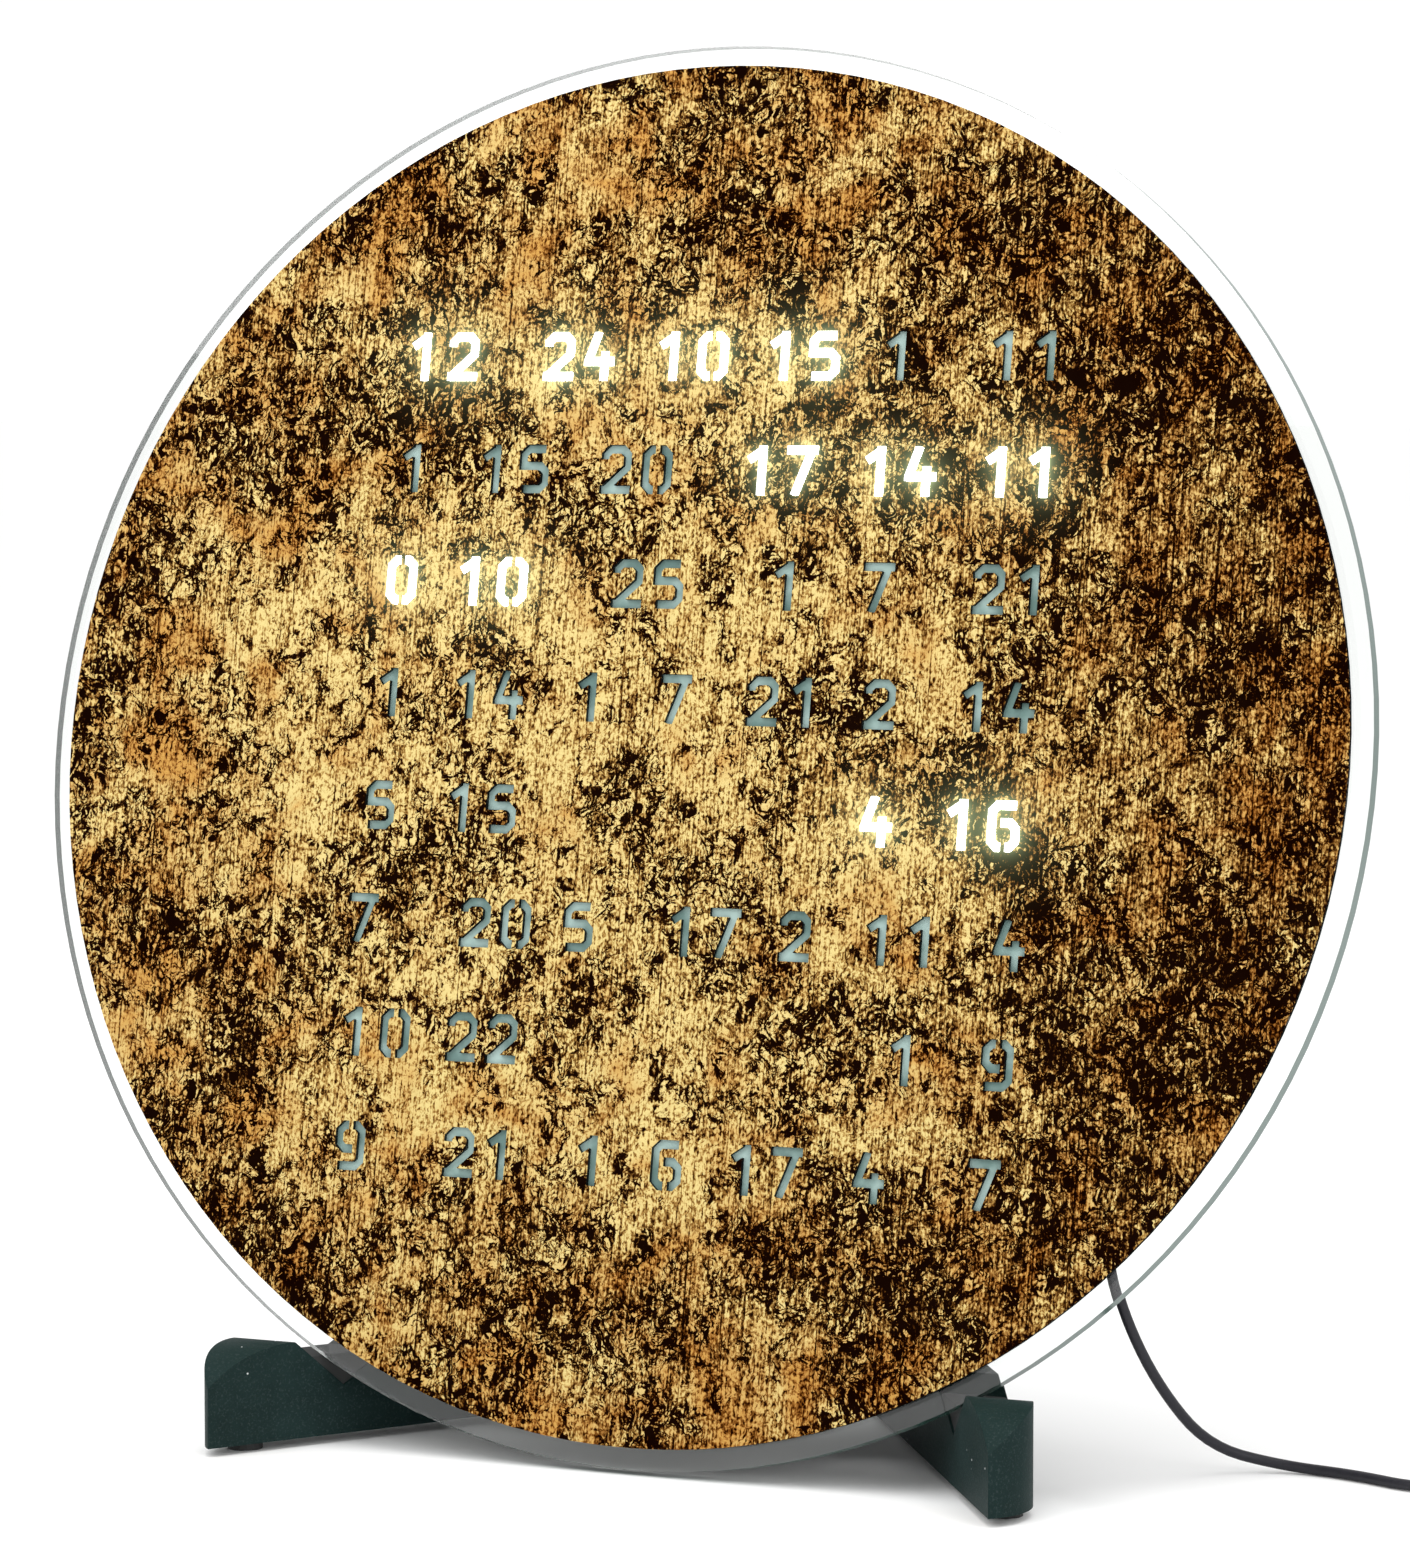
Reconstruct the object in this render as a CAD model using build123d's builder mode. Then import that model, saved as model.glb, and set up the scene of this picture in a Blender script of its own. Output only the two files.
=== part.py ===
from build123d import *
import math
import os

# A round clock: a clear glass disc with a thin bronze panel on its front, held in the notches of
# two black arms. Numerals are cut through the panel like a stencil, and each group of numerals has
# its own light chamber behind the glass. Sizes are in millimetres, angles in degrees. +X is to the
# right, +Y to the back, +Z up, and the table is at z = 0 below the middle of the object.

os.makedirs("parts", exist_ok=True)

# Glass disc and panel
glass_dia = 400.0
glass_t = 5.0
panel_rim = 6.0
panel_t = 1.5
film_margin = 4.0
film_t = 0.3
lean = 10.87
ground_gap = 0.6

# Numerals and their rows
num_w = 9.4
num_h = 14.0
stroke = 2.5
num_cut = 1.6
bridge = 1.3
num_pitch = 12.6
row_1_base = 103.8
row_pitch = 32.4

# Number groups: row, left edge, right edge, numerals
groups = [
    (1, -93.6, -28.7, "12 24"),
    (1, -15.7, 40.1, "10 15"),
    (1, 52.9, 106.3, "1 11"),
    (2, -94.0, -8.3, "1 15 20"),
    (2, 13.8, 106.8, "17 14 11"),
    (3, -94.9, -50.5, "0 10"),
    (3, -24.0, 33.8, "25 1"),
    (3, 51.8, 106.2, "7 21"),
    (4, -95.4, -48.9, "1 14"),
    (4, -32.9, 41.8, "1 7 21"),
    (4, 54.7, 104.8, "2 14"),
    (5, -95.9, -48.2, "5 15"),
    (5, 56.3, 102.9, "4 16"),
    (6, -98.5, -40.9, "7 20"),
    (6, -30.9, 23.1, "5 17"),
    (6, 34.7, 106.8, "2 11 4"),
    (7, -97.9, -42.3, "10 22"),
    (7, 69.2, 105.8, "1 9"),
    (8, -96.6, -40.3, "9 21"),
    (8, -21.6, 46.7, "1 6 17"),
    (8, 61.6, 104.3, "4 7"),
]

# Housing behind the glass
tape_t = 1.0
tape_w = 6.0
tape_len = 32.0
tape_count = 16
land_w = 7.0
land_t = 2.0
housing_dia = 350.0
housing_wall = 3.5
housing_depth = 25.7
housing_draft = 1.5
cover_t = 2.5

# Light baffle and boards
baffle_gap = 0.3
baffle_h = 14.0
baffle_plate_t = 2.0
chamber_wall = 1.6
chamber_margin = 2.6
chamber_h = 19.6
board_t = 1.6
board_edge_gap = 4.5
board_flat = 135.0
led_size = 5.0
led_h = 1.6
led_spacing = 36.0

# Screws of the housing
cover_screw_inset = 19.0
board_screw_inset = 25.0
board_screw_angle = 25.0
boss_dia = 9.0
case_screw_dia = 3.0
case_head_dia = 5.6
case_head_h = 2.0
case_screw_len = 12.0
rib_t = 3.0

# Sides of small round forms
round_sides = 16
head_sides = 10
hole_sides = 8

# Set buttons on the back
button_u = -130.0
button_pitch = 18.0
button_dia = 8.0
button_proud = 1.5
button_travel = 0.8
button_flange_dia = 11.0
button_flange_t = 1.3
button_stem_dia = 3.4
switch_size = 6.2
switch_h = 5.0
stem_entry = 1.0
well_spare = 1.2
slide_gap = 0.2

# Socket, plug and the bay that they sit in
bay_u = 126.0
bay_top = -86.6
bay_w = 17.0
bay_depth = 11.5
bay_wall = 1.6
jack_w = 9.0
jack_len = 13.8
jack_bore_dia = 6.0
plug_inset = 6.5
barrel_dia = 5.5
barrel_len = 9.5
barrel_bore_dia = 2.1
plug_body_dia = 9.0
plug_body_len = 18.0
boot_dia = 6.6
boot_len = 14.0
boot_sides = 6
boot_wall = 0.7
boot_core_dia = 4.0
seat_gap = 0.3

# Arms of the stand
arm_w = 16.0
arm_h = 27.65
nose_h = 16.8
notch_h = 13.8
toe_angle = 33.24
notch_x = 92.37
nose_len = 36.5
tail_len = 99.7
notch_front = 13.3
notch_rear = 19.7
notch_setback = 2.07
nose_round = 19.0
crown_fillet = 1.2
tail_round = 9.0
pad_t = 2.5
pad_dia = 10.0
pad_nose = 16.0
pad_tail = 148.0
saddle_grip = 2.5
saddle_inset = 0.6

# Bent plate that joins the arms and backs the head
plate_t = 3.0
plate_bend = 3.0
upright_w = 96.0
upright_top = -84.0
plate_rear_gap = 6.0
gusset_x = 36.0
gusset_len = 34.0
gusset_h = 46.0
felt_t = 1.5
felt_h = 40.0
rest_screw_u = 28.0
rest_screw_v = -104.0
rest_boss_h = 5.0
stand_screw_dia = 4.0
stand_head_dia = 7.6
head_rim = 0.4
head_cone = 1.4
stand_screw_len = 14.0
stand_screw_near = 97.0
stand_screw_far = 134.0
pan_head_h = 2.6
screw_margin = 1.6

# Lead
cord_dia = 3.0
cord_sides = 6
coil_mid_dia = 31.0
coil_straight = 64.0
coil_pitch = 3.6
coil_turns = 1
coil_x = 270.0
coil_y = 41.0
tail_lead = 12.0
tail_reach = 30.0
tie_w = 5.0
tie_wall = 0.8
tie_gap = 0.3
usb_w = 15.4
usb_h = 7.6
usb_len = 24.0
usb_shell_w = 12.0
usb_shell_h = 4.5
usb_shell_len = 12.0
usb_shell_wall = 0.4
usb_boot_len = 10.0

# Places worked out from the sizes above
sin_lean = math.sin(math.radians(lean))
cos_lean = math.cos(math.radians(lean))
sin_toe = math.sin(math.radians(toe_angle))
cos_toe = math.cos(math.radians(toe_angle))
glass_r = glass_dia / 2
panel_r = glass_r - panel_rim
stack = panel_t + film_t + glass_t
centre_z = ground_gap + glass_r * cos_lean + stack * sin_lean
depth = nose_len + tail_len
nose_y = -depth / 2
rear_y = depth / 2
notch_y = nose_y + nose_len
edge_v = -math.sqrt(glass_r**2 - notch_x**2)
panel_y = notch_y - notch_setback - stack * cos_lean - edge_v * sin_lean

# The disc's own frame: u to the right, v up the disc, n out of its front
head = Plane(origin=(0, panel_y, centre_z), x_dir=(1, 0, 0), z_dir=(0, -cos_lean, sin_lean))

housing_front = stack + tape_t
housing_back = housing_front + housing_depth
cover_back = housing_back + cover_t
baffle_front = stack + baffle_gap
board_front = baffle_front + baffle_h
board_back = board_front + board_t
housing_r = housing_dia / 2
inner_r = housing_r - housing_wall
board_r = inner_r - board_edge_gap
cover_r = housing_r - housing_draft
cover_screw_r = housing_r - cover_screw_inset
board_screw_r = housing_r - board_screw_inset


def behind(distance):
    """Plane parallel to the disc, this far behind the panel's front face."""
    return head.offset(-distance)


def side_point(v, distance):
    """Y and Z of a point of the disc's frame in the plane that halves the clock."""
    y = panel_y + v * sin_lean + distance * cos_lean
    z = centre_z + v * cos_lean - distance * sin_lean
    return (y, z)


def row_base(row):
    """Height of a row's base line in the disc's frame."""
    return row_1_base - (row - 1) * row_pitch


def numeral_strokes(character):
    """Centre lines of a numeral's strokes."""
    a = (num_w - stroke) / 2
    b = (num_h - stroke) / 2
    g = bridge / 2
    end = stroke / 2
    shoulder = b - num_cut - end
    waist = 0.16 * b
    left_c = [(-g, b), (-a, b), (-a, -b), (-g, -b)]
    six_stem = [(a, b), (-a, b), (-a, -b), (-g, -b)]
    six_bowl = [(g, -b), (a, -b), (a, waist), (end - a + bridge, waist)]
    three_bow = [(-a, shoulder), (-a, b), (a, b), (a, 0), (-g, 0)]
    eight_bow = [(-g, b), (-a, b), (-a, 0), (-g, 0)]
    strokes = {
        "0": [left_c, [(-x, y) for x, y in left_c]],
        "1": [[(g, b + end), (g, -b - end)], [(-a, shoulder), (g, b)]],
        "2": [[(-a, shoulder), (-a, b), (a, b), (a, g), (-a, -b)], [(-a - end, -b), (a + end, -b)]],
        "3": [three_bow, [(x, -y) for x, y in three_bow]],
        "4": [
            [(-g, b + end), (-a, -shoulder / 2), (a + end, -shoulder / 2)],
            [(a / 2, shoulder / 2), (a / 2, -b - end)],
        ],
        "5": [[(a, b), (-a, b), (-a, waist - end)], [(-a, waist), (a, waist), (a, -b), (-a, -b)]],
        "6": [six_stem, six_bowl],
        "7": [[(-a - end, b), (a + end, b)], [(a - g, b), (-a / 2, -b - end)]],
        "8": [
            eight_bow,
            [(x, -y) for x, y in eight_bow],
            [(-x, y) for x, y in eight_bow],
            [(-x, -y) for x, y in eight_bow],
        ],
        "9": [[(-x, -y) for x, y in six_stem], [(-x, -y) for x, y in six_bowl]],
    }
    return strokes[character]


def cut_corners(points):
    """The points of a stroke with a short slanted run in place of each square corner."""
    spots = [Vector(*point) for point in points]
    run = [spots[0]]
    for before, corner, after in zip(spots, spots[1:], spots[2:]):
        turn = (corner - before).get_angle(after - corner)
        if abs(turn - 90) < 1:
            run.append(corner + (before - corner).normalized() * num_cut)
            run.append(corner + (after - corner).normalized() * num_cut)
        else:
            run.append(corner)
    return run + [spots[-1]]


def numeral(character):
    """Faces of one stencil numeral, centred on its cell."""
    with BuildSketch() as shape:
        for points in numeral_strokes(character):
            with BuildLine() as centre_line:
                Polyline(*cut_corners(points))
            trace(centre_line.line, line_width=stroke)
        Rectangle(num_w, num_h, mode=Mode.INTERSECT)
    return shape.sketch.faces()


def group_cells(left, right, text):
    """Each numeral of a group with the middle of its cell, the numbers spread over the width."""
    numbers = text.split(" ")
    widths = [num_w + (len(number) - 1) * num_pitch for number in numbers]
    space = (right - left - sum(widths)) / max(len(numbers) - 1, 1)
    cells = []
    start = left
    for number, width in zip(numbers, widths):
        for place, character in enumerate(number):
            cells.append((character, start + num_w / 2 + place * num_pitch))
        start += width + space
    return cells


# Stencil openings on the panel's front plane
numeral_faces = {character: numeral(character) for character in "0123456789"}
stencil = []
for row, left, right, text in groups:
    for character, u in group_cells(left, right, text):
        spot = head.location * Location((u, row_base(row) + num_h / 2, 0))
        stencil += [face.moved(spot) for face in numeral_faces[character]]

with BuildPart() as front_panel:
    with BuildSketch(head):
        Circle(panel_r)
    extrude(amount=-panel_t)
    extrude(stencil, amount=-panel_t, mode=Mode.SUBTRACT)
front_panel.part.label = "front_panel"
export_step(front_panel.part, "parts/front_panel.step")

with BuildPart() as glass_disc:
    with BuildSketch(behind(panel_t + film_t)):
        Circle(glass_r)
    extrude(amount=-glass_t)
glass_disc.part.label = "glass_disc"
export_step(glass_disc.part, "parts/glass_disc.step")

with BuildPart() as bond_ring:
    with BuildSketch(behind(stack)):
        with PolarLocations(housing_r - land_w / 2, tape_count):
            Rectangle(tape_w, tape_len)
    extrude(amount=-tape_t)
bond_ring.part.label = "bond_ring"
export_step(bond_ring.part, "parts/bond_ring.step")

# Chambers of the light baffle: middle and width of each group
chambers = []
for row, left, right, text in groups:
    chambers.append(((left + right) / 2, row_base(row) + num_h / 2, right - left + 2 * chamber_margin))
baffle_top = row_base(1) + num_h / 2 + chamber_h / 2 + chamber_margin
baffle_foot = row_base(8) + num_h / 2 - chamber_h / 2 - chamber_margin
baffle_right = max(u + width / 2 for u, v, width in chambers) + chamber_margin
baffle_left = min(u - width / 2 for u, v, width in chambers) - chamber_margin
film_w = baffle_right - baffle_left + 2 * film_margin
film_h = baffle_top - baffle_foot + 2 * film_margin
baffle_u = (baffle_left + baffle_right) / 2
baffle_v = (baffle_top + baffle_foot) / 2

with BuildPart() as diffuser_sheet:
    with BuildSketch(behind(panel_t)):
        with Locations((baffle_u, baffle_v)):
            Rectangle(film_w, film_h)
    extrude(amount=-film_t)
diffuser_sheet.part.label = "diffuser_sheet"
export_step(diffuser_sheet.part, "parts/diffuser_sheet.step")

with BuildPart() as light_baffle:
    with BuildSketch(behind(board_front - baffle_plate_t)):
        Circle(board_r)
        with Locations((baffle_u, baffle_v)):
            Rectangle(baffle_right - baffle_left, baffle_top - baffle_foot, mode=Mode.INTERSECT)
    extrude(amount=-baffle_plate_t)
    with BuildSketch(behind(baffle_front)):
        for u, v, width in chambers:
            with Locations((u, v)):
                Rectangle(width + 2 * chamber_wall, chamber_h + 2 * chamber_wall)
    extrude(amount=-baffle_h)
    with BuildSketch(behind(baffle_front)):
        for u, v, width in chambers:
            with Locations((u, v)):
                Rectangle(width, chamber_h)
    extrude(amount=-baffle_h, mode=Mode.SUBTRACT)
light_baffle.part.label = "light_baffle"
export_step(light_baffle.part, "parts/light_baffle.step")

cover_screw_angles = [15, 90, 165, 195, 270, 345]
cover_screw_spots = [
    (cover_screw_r * math.cos(math.radians(angle)), cover_screw_r * math.sin(math.radians(angle)))
    for angle in cover_screw_angles
]
board_screw_angles = [board_screw_angle, 180 - board_screw_angle, 180 + board_screw_angle, -board_screw_angle]
board_screw_spots = [
    (board_screw_r * math.cos(math.radians(angle)), board_screw_r * math.sin(math.radians(angle)))
    for angle in board_screw_angles
]
button_spots = [(button_u, step * button_pitch) for step in (1, 0, -1)]

with BuildPart() as led_board:
    with BuildSketch(behind(board_front)):
        Circle(board_r)
        Rectangle(2 * board_r, 2 * board_flat, mode=Mode.INTERSECT)
        with Locations(*cover_screw_spots):
            RegularPolygon(boss_dia / 2 + seat_gap, hole_sides, mode=Mode.SUBTRACT)
        with Locations(*board_screw_spots):
            RegularPolygon(case_screw_dia / 2 + slide_gap, hole_sides, mode=Mode.SUBTRACT)
    extrude(amount=-board_t)
led_board.part.label = "led_board"
export_step(led_board.part, "parts/led_board.step")

led_spots = []
for u, v, width in chambers:
    count = math.ceil(width / led_spacing)
    led_spots += [(u + (place - (count - 1) / 2) * width / count, v) for place in range(count)]

with BuildPart() as leds:
    with BuildSketch(behind(board_front)):
        with Locations(*led_spots):
            Rectangle(led_size, led_size)
    extrude(amount=led_h)
leds.part.label = "leds"
export_step(leds.part, "parts/leds.step")

chip_sizes = [(-20, 40, 14), (14, 40, 10), (14, 64, 7)]
chip_h = 1.5

with BuildPart() as driver_chips:
    with BuildSketch(behind(board_back)):
        for u, v, size in chip_sizes:
            with Locations((u, v)):
                Rectangle(size, size)
    extrude(amount=-chip_h)
driver_chips.part.label = "driver_chips"
export_step(driver_chips.part, "parts/driver_chips.step")

capacitor_dia = 8.0
capacitor_h = 8.5
capacitor_spots = [(90, -40), (102, -40), (96, -28)]

with BuildPart() as capacitors:
    with BuildSketch(behind(board_back)):
        with Locations(*capacitor_spots):
            RegularPolygon(capacitor_dia / 2, head_sides)
    extrude(amount=-capacitor_h)
capacitors.part.label = "capacitors"
export_step(capacitors.part, "parts/capacitors.step")

cell_dia = 20.0
cell_t = 3.2
cell_floor = 1.2
cell_wall = 2.5
cell_spot = (-60, 60)

with BuildPart() as coin_cell_holder:
    with BuildSketch(behind(board_back)):
        with Locations(cell_spot):
            Rectangle(cell_dia + 2 * cell_wall, cell_dia + 2 * cell_wall)
    extrude(amount=-(cell_floor + cell_t))
    with BuildSketch(behind(board_back + cell_floor)):
        with Locations(cell_spot):
            RegularPolygon(cell_dia / 2 + slide_gap, round_sides)
    extrude(amount=-cell_t, mode=Mode.SUBTRACT)
coin_cell_holder.part.label = "coin_cell_holder"
export_step(coin_cell_holder.part, "parts/coin_cell_holder.step")

with BuildPart() as coin_cell:
    with BuildSketch(behind(board_back + cell_floor)):
        with Locations(cell_spot):
            RegularPolygon(cell_dia / 2, round_sides)
    extrude(amount=-cell_t)
coin_cell.part.label = "coin_cell"
export_step(coin_cell.part, "parts/coin_cell.step")

with BuildPart() as tact_switches:
    with BuildSketch(behind(board_back)):
        with Locations(*button_spots):
            Rectangle(switch_size, switch_size)
    extrude(amount=-switch_h)
    with BuildSketch(behind(board_back + switch_h)):
        with Locations(*button_spots):
            RegularPolygon(button_stem_dia / 2 + slide_gap, hole_sides)
    extrude(amount=stem_entry + button_travel + well_spare, mode=Mode.SUBTRACT)
tact_switches.part.label = "tact_switches"
export_step(tact_switches.part, "parts/tact_switches.step")


def screws(spots, start, length, shank_dia, head_dia, head_h):
    """Pan-head screws that point to the front, their heads seated at the depth called start."""
    with BuildPart() as group:
        with BuildSketch(behind(start)):
            with Locations(*spots):
                RegularPolygon(shank_dia / 2, hole_sides)
        extrude(amount=length)
        with BuildSketch(behind(start)):
            with Locations(*spots):
                RegularPolygon(head_dia / 2, head_sides)
        extrude(amount=-head_h)
    return group


case_screw = (case_screw_len, case_screw_dia, case_head_dia, case_head_h)
board_screws = screws(board_screw_spots, board_back, *case_screw)
board_screws.part.label = "board_screws"
export_step(board_screws.part, "parts/board_screws.step")

cover_screws = screws(cover_screw_spots, cover_back - case_head_h, *case_screw)
cover_screws.part.label = "cover_screws"
export_step(cover_screws.part, "parts/cover_screws.step")

# Plug axis: down the disc at the bay, at this depth behind the panel
plug_depth = board_back + plug_inset
bay_floor = cover_back - bay_depth

# Section of the ring wall in its own plane: radius to the right, n up
section_plane = Plane(origin=head.origin, x_dir=(1, 0, 0), z_dir=(0, -sin_lean, -cos_lean))

with BuildPart() as rear_housing:
    with BuildSketch(section_plane):
        with BuildLine():
            Polyline(
                (housing_r - land_w, -housing_front),
                (housing_r, -housing_front),
                (cover_r, -housing_back),
                (inner_r, -housing_back),
                (inner_r, -housing_front - land_t),
                (housing_r - land_w, -housing_front - land_t),
                close=True,
            )
        make_face()
    revolve(axis=Axis(head.origin, head.z_dir))
    for spots, boss_end in ((cover_screw_spots, housing_back), (board_screw_spots, board_front)):
        for u, v in spots:
            reach = math.hypot(u, v)
            rib_len = inner_r + seat_gap - reach
            with BuildSketch(behind(housing_front + land_t)):
                with Locations((u, v)):
                    RegularPolygon(boss_dia / 2, hole_sides)
            extrude(amount=housing_front + land_t - boss_end)
            with BuildSketch(behind(housing_front + land_t)):
                with Locations(Location((0, 0), math.degrees(math.atan2(v, u)))):
                    with Locations((reach + rib_len / 2, 0)):
                        Rectangle(rib_len, rib_t)
            extrude(amount=housing_front + land_t + seat_gap - board_front)
    with BuildSketch(behind(housing_back)):
        with Locations(*cover_screw_spots):
            RegularPolygon(case_screw_dia / 2, hole_sides)
    extrude(amount=case_screw_len, mode=Mode.SUBTRACT)
    with BuildSketch(behind(board_front)):
        with Locations(*board_screw_spots):
            RegularPolygon(case_screw_dia / 2, hole_sides)
    extrude(amount=case_screw_len - board_t, mode=Mode.SUBTRACT)
    with BuildSketch(behind(bay_floor)):
        with Locations((bay_u, bay_top)):
            Rectangle(bay_w, housing_r, align=(Align.CENTER, Align.MAX))
    extrude(amount=-bay_depth, mode=Mode.SUBTRACT)
rear_housing.part.label = "rear_housing"
export_step(rear_housing.part, "parts/rear_housing.step")

vent_w = 3.0
vent_len = 28.0
vent_pitch = 12.0
vent_count = 6
vent_rows = [-58.0, 112.0]
rest_spots = [(-rest_screw_u, rest_screw_v), (rest_screw_u, rest_screw_v)]
tray_r = inner_r - seat_gap

with BuildPart() as rear_cover:
    with BuildSketch(behind(housing_back)):
        Circle(cover_r)
    extrude(amount=-cover_t)
    with BuildSketch(behind(bay_floor - bay_wall)):
        Circle(tray_r)
        with Locations((bay_u, bay_top + bay_wall)):
            Rectangle(bay_w + 2 * bay_wall, housing_r, align=(Align.CENTER, Align.MAX), mode=Mode.INTERSECT)
    extrude(amount=bay_floor - bay_wall - housing_back)
    with BuildSketch(behind(bay_floor)):
        with Locations((bay_u, bay_top)):
            Rectangle(bay_w, housing_r, align=(Align.CENTER, Align.MAX))
    extrude(amount=-bay_depth, mode=Mode.SUBTRACT)
    plug_hole = Plane(
        origin=behind(plug_depth).from_local_coords((bay_u, bay_top - bay_wall, 0)),
        x_dir=(1, 0, 0),
        z_dir=(0, sin_lean, cos_lean),
    )
    with BuildSketch(plug_hole):
        RegularPolygon(barrel_dia / 2 + seat_gap, head_sides)
    extrude(amount=3 * bay_wall, mode=Mode.SUBTRACT)
    with BuildSketch(behind(housing_back)):
        with Locations(*rest_spots):
            RegularPolygon(boss_dia / 2, hole_sides)
    extrude(amount=rest_boss_h)
    with BuildSketch(behind(cover_back)):
        with Locations(*rest_spots):
            RegularPolygon(stand_screw_dia / 2, hole_sides)
        with Locations(*cover_screw_spots):
            RegularPolygon(case_screw_dia / 2 + slide_gap, hole_sides)
        with Locations(*button_spots):
            RegularPolygon(button_dia / 2 + slide_gap, round_sides)
        for v in vent_rows:
            with Locations((0, v)):
                with GridLocations(vent_pitch, 0, vent_count, 1):
                    Rectangle(vent_w, vent_len)
    extrude(amount=cover_t + rest_boss_h, mode=Mode.SUBTRACT)
    with BuildSketch(behind(cover_back)):
        with Locations(*cover_screw_spots):
            RegularPolygon(case_head_dia / 2 + slide_gap, head_sides)
    extrude(amount=case_head_h, mode=Mode.SUBTRACT)
rear_cover.part.label = "rear_cover"
export_step(rear_cover.part, "parts/rear_cover.step")

button_seat = housing_back - slide_gap / 2
stem_end = board_back + switch_h - stem_entry


def set_button(spot):
    """Round button with a flange inside the cover and a stem that enters its switch."""
    with BuildPart() as button:
        with BuildSketch(behind(button_seat)):
            with Locations(spot):
                RegularPolygon(button_flange_dia / 2, head_sides)
        extrude(amount=button_flange_t)
        with BuildSketch(behind(button_seat)):
            with Locations(spot):
                RegularPolygon(button_dia / 2, round_sides)
        extrude(amount=-(cover_back - button_seat + button_proud))
        with BuildSketch(behind(button_seat - button_flange_t)):
            with Locations(spot):
                RegularPolygon(button_stem_dia / 2, hole_sides)
        extrude(amount=button_seat - button_flange_t - stem_end)
    return button


button_hour = set_button(button_spots[0])
button_hour.part.label = "button_hour"
export_step(button_hour.part, "parts/button_hour.step")

button_minute = set_button(button_spots[1])
button_minute.part.label = "button_minute"
export_step(button_minute.part, "parts/button_minute.step")

button_dim = set_button(button_spots[2])
button_dim.part.label = "button_dim"
export_step(button_dim.part, "parts/button_dim.step")


def lead_plane(v):
    """Plane across the plug's axis at a height v of the disc's frame, facing down the disc."""
    centre = behind(plug_depth).from_local_coords((bay_u, v, 0))
    return Plane(origin=centre, x_dir=(1, 0, 0), z_dir=(0, -sin_lean, -cos_lean))


jack_foot = bay_top + bay_wall + seat_gap / 2
jack_h = housing_back - board_back - seat_gap

with BuildPart() as dc_jack:
    with BuildSketch(behind(board_back)):
        with Locations((bay_u, jack_foot)):
            Rectangle(jack_w, jack_len, align=(Align.CENTER, Align.MIN))
    extrude(amount=-jack_h)
    with BuildSketch(lead_plane(jack_foot)):
        RegularPolygon(jack_bore_dia / 2, head_sides)
    extrude(amount=-(barrel_len + 1), mode=Mode.SUBTRACT)
dc_jack.part.label = "dc_jack"
export_step(dc_jack.part, "parts/dc_jack.step")

plug_top = bay_top - seat_gap
plug_foot = plug_top - plug_body_len

with BuildPart() as plug_barrel:
    with BuildSketch(lead_plane(plug_top)):
        RegularPolygon(barrel_dia / 2, head_sides)
        RegularPolygon(barrel_bore_dia / 2, hole_sides, mode=Mode.SUBTRACT)
    extrude(amount=-barrel_len)
plug_barrel.part.label = "plug_barrel"
export_step(plug_barrel.part, "parts/plug_barrel.step")

with BuildPart() as plug_body:
    with BuildSketch(lead_plane(plug_top)):
        RegularPolygon(plug_body_dia / 2, head_sides)
    extrude(amount=plug_body_len)
plug_body.part.label = "plug_body"
export_step(plug_body.part, "parts/plug_body.step")


def strain_relief(start_plane, start_dia, length):
    """Tapered boot with two grooves, round the lead where it leaves a plug."""
    groove_w = length / 7
    end_dia = cord_dia + 2 * boot_wall
    with BuildPart() as boot:
        with BuildSketch(start_plane):
            RegularPolygon(start_dia / 2, boot_sides)
        with BuildSketch(start_plane.offset(length)):
            RegularPolygon(end_dia / 2, boot_sides)
        loft()
        for groove in range(2):
            with BuildSketch(start_plane.offset((2 + 2 * groove) * groove_w)):
                RegularPolygon(start_dia, boot_sides)
                RegularPolygon(boot_core_dia / 2, boot_sides, mode=Mode.SUBTRACT)
            extrude(amount=groove_w, mode=Mode.SUBTRACT)
    return boot


plug_boot = strain_relief(lead_plane(plug_foot), boot_dia, boot_len)
plug_boot.part.label = "plug_boot"
export_step(plug_boot.part, "parts/plug_boot.step")

# Right arm: its outline seen from above, cut by its outline seen from the side
arm_z = pad_t
arm_top = arm_z + arm_h
toe_x = notch_x + nose_len * sin_toe / cos_toe
arm_len = depth / cos_toe
arm_plane = Plane(origin=(toe_x, nose_y, arm_z), x_dir=(-sin_toe, cos_toe, 0), z_dir=(0, 0, 1))
crown = (notch_y - notch_front, arm_top)
notch = (notch_y, arm_z + notch_h)
block = (notch_y + notch_rear, arm_top)
stand_screw_spots = [(stand_screw_near, -arm_w / 2), (stand_screw_far, -arm_w / 2)]
stand_screw_depth = stand_screw_len - plate_t


def inner_x(y):
    """X of the right arm's inner face at this y."""
    return toe_x - (y - nose_y) * sin_toe / cos_toe


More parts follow.
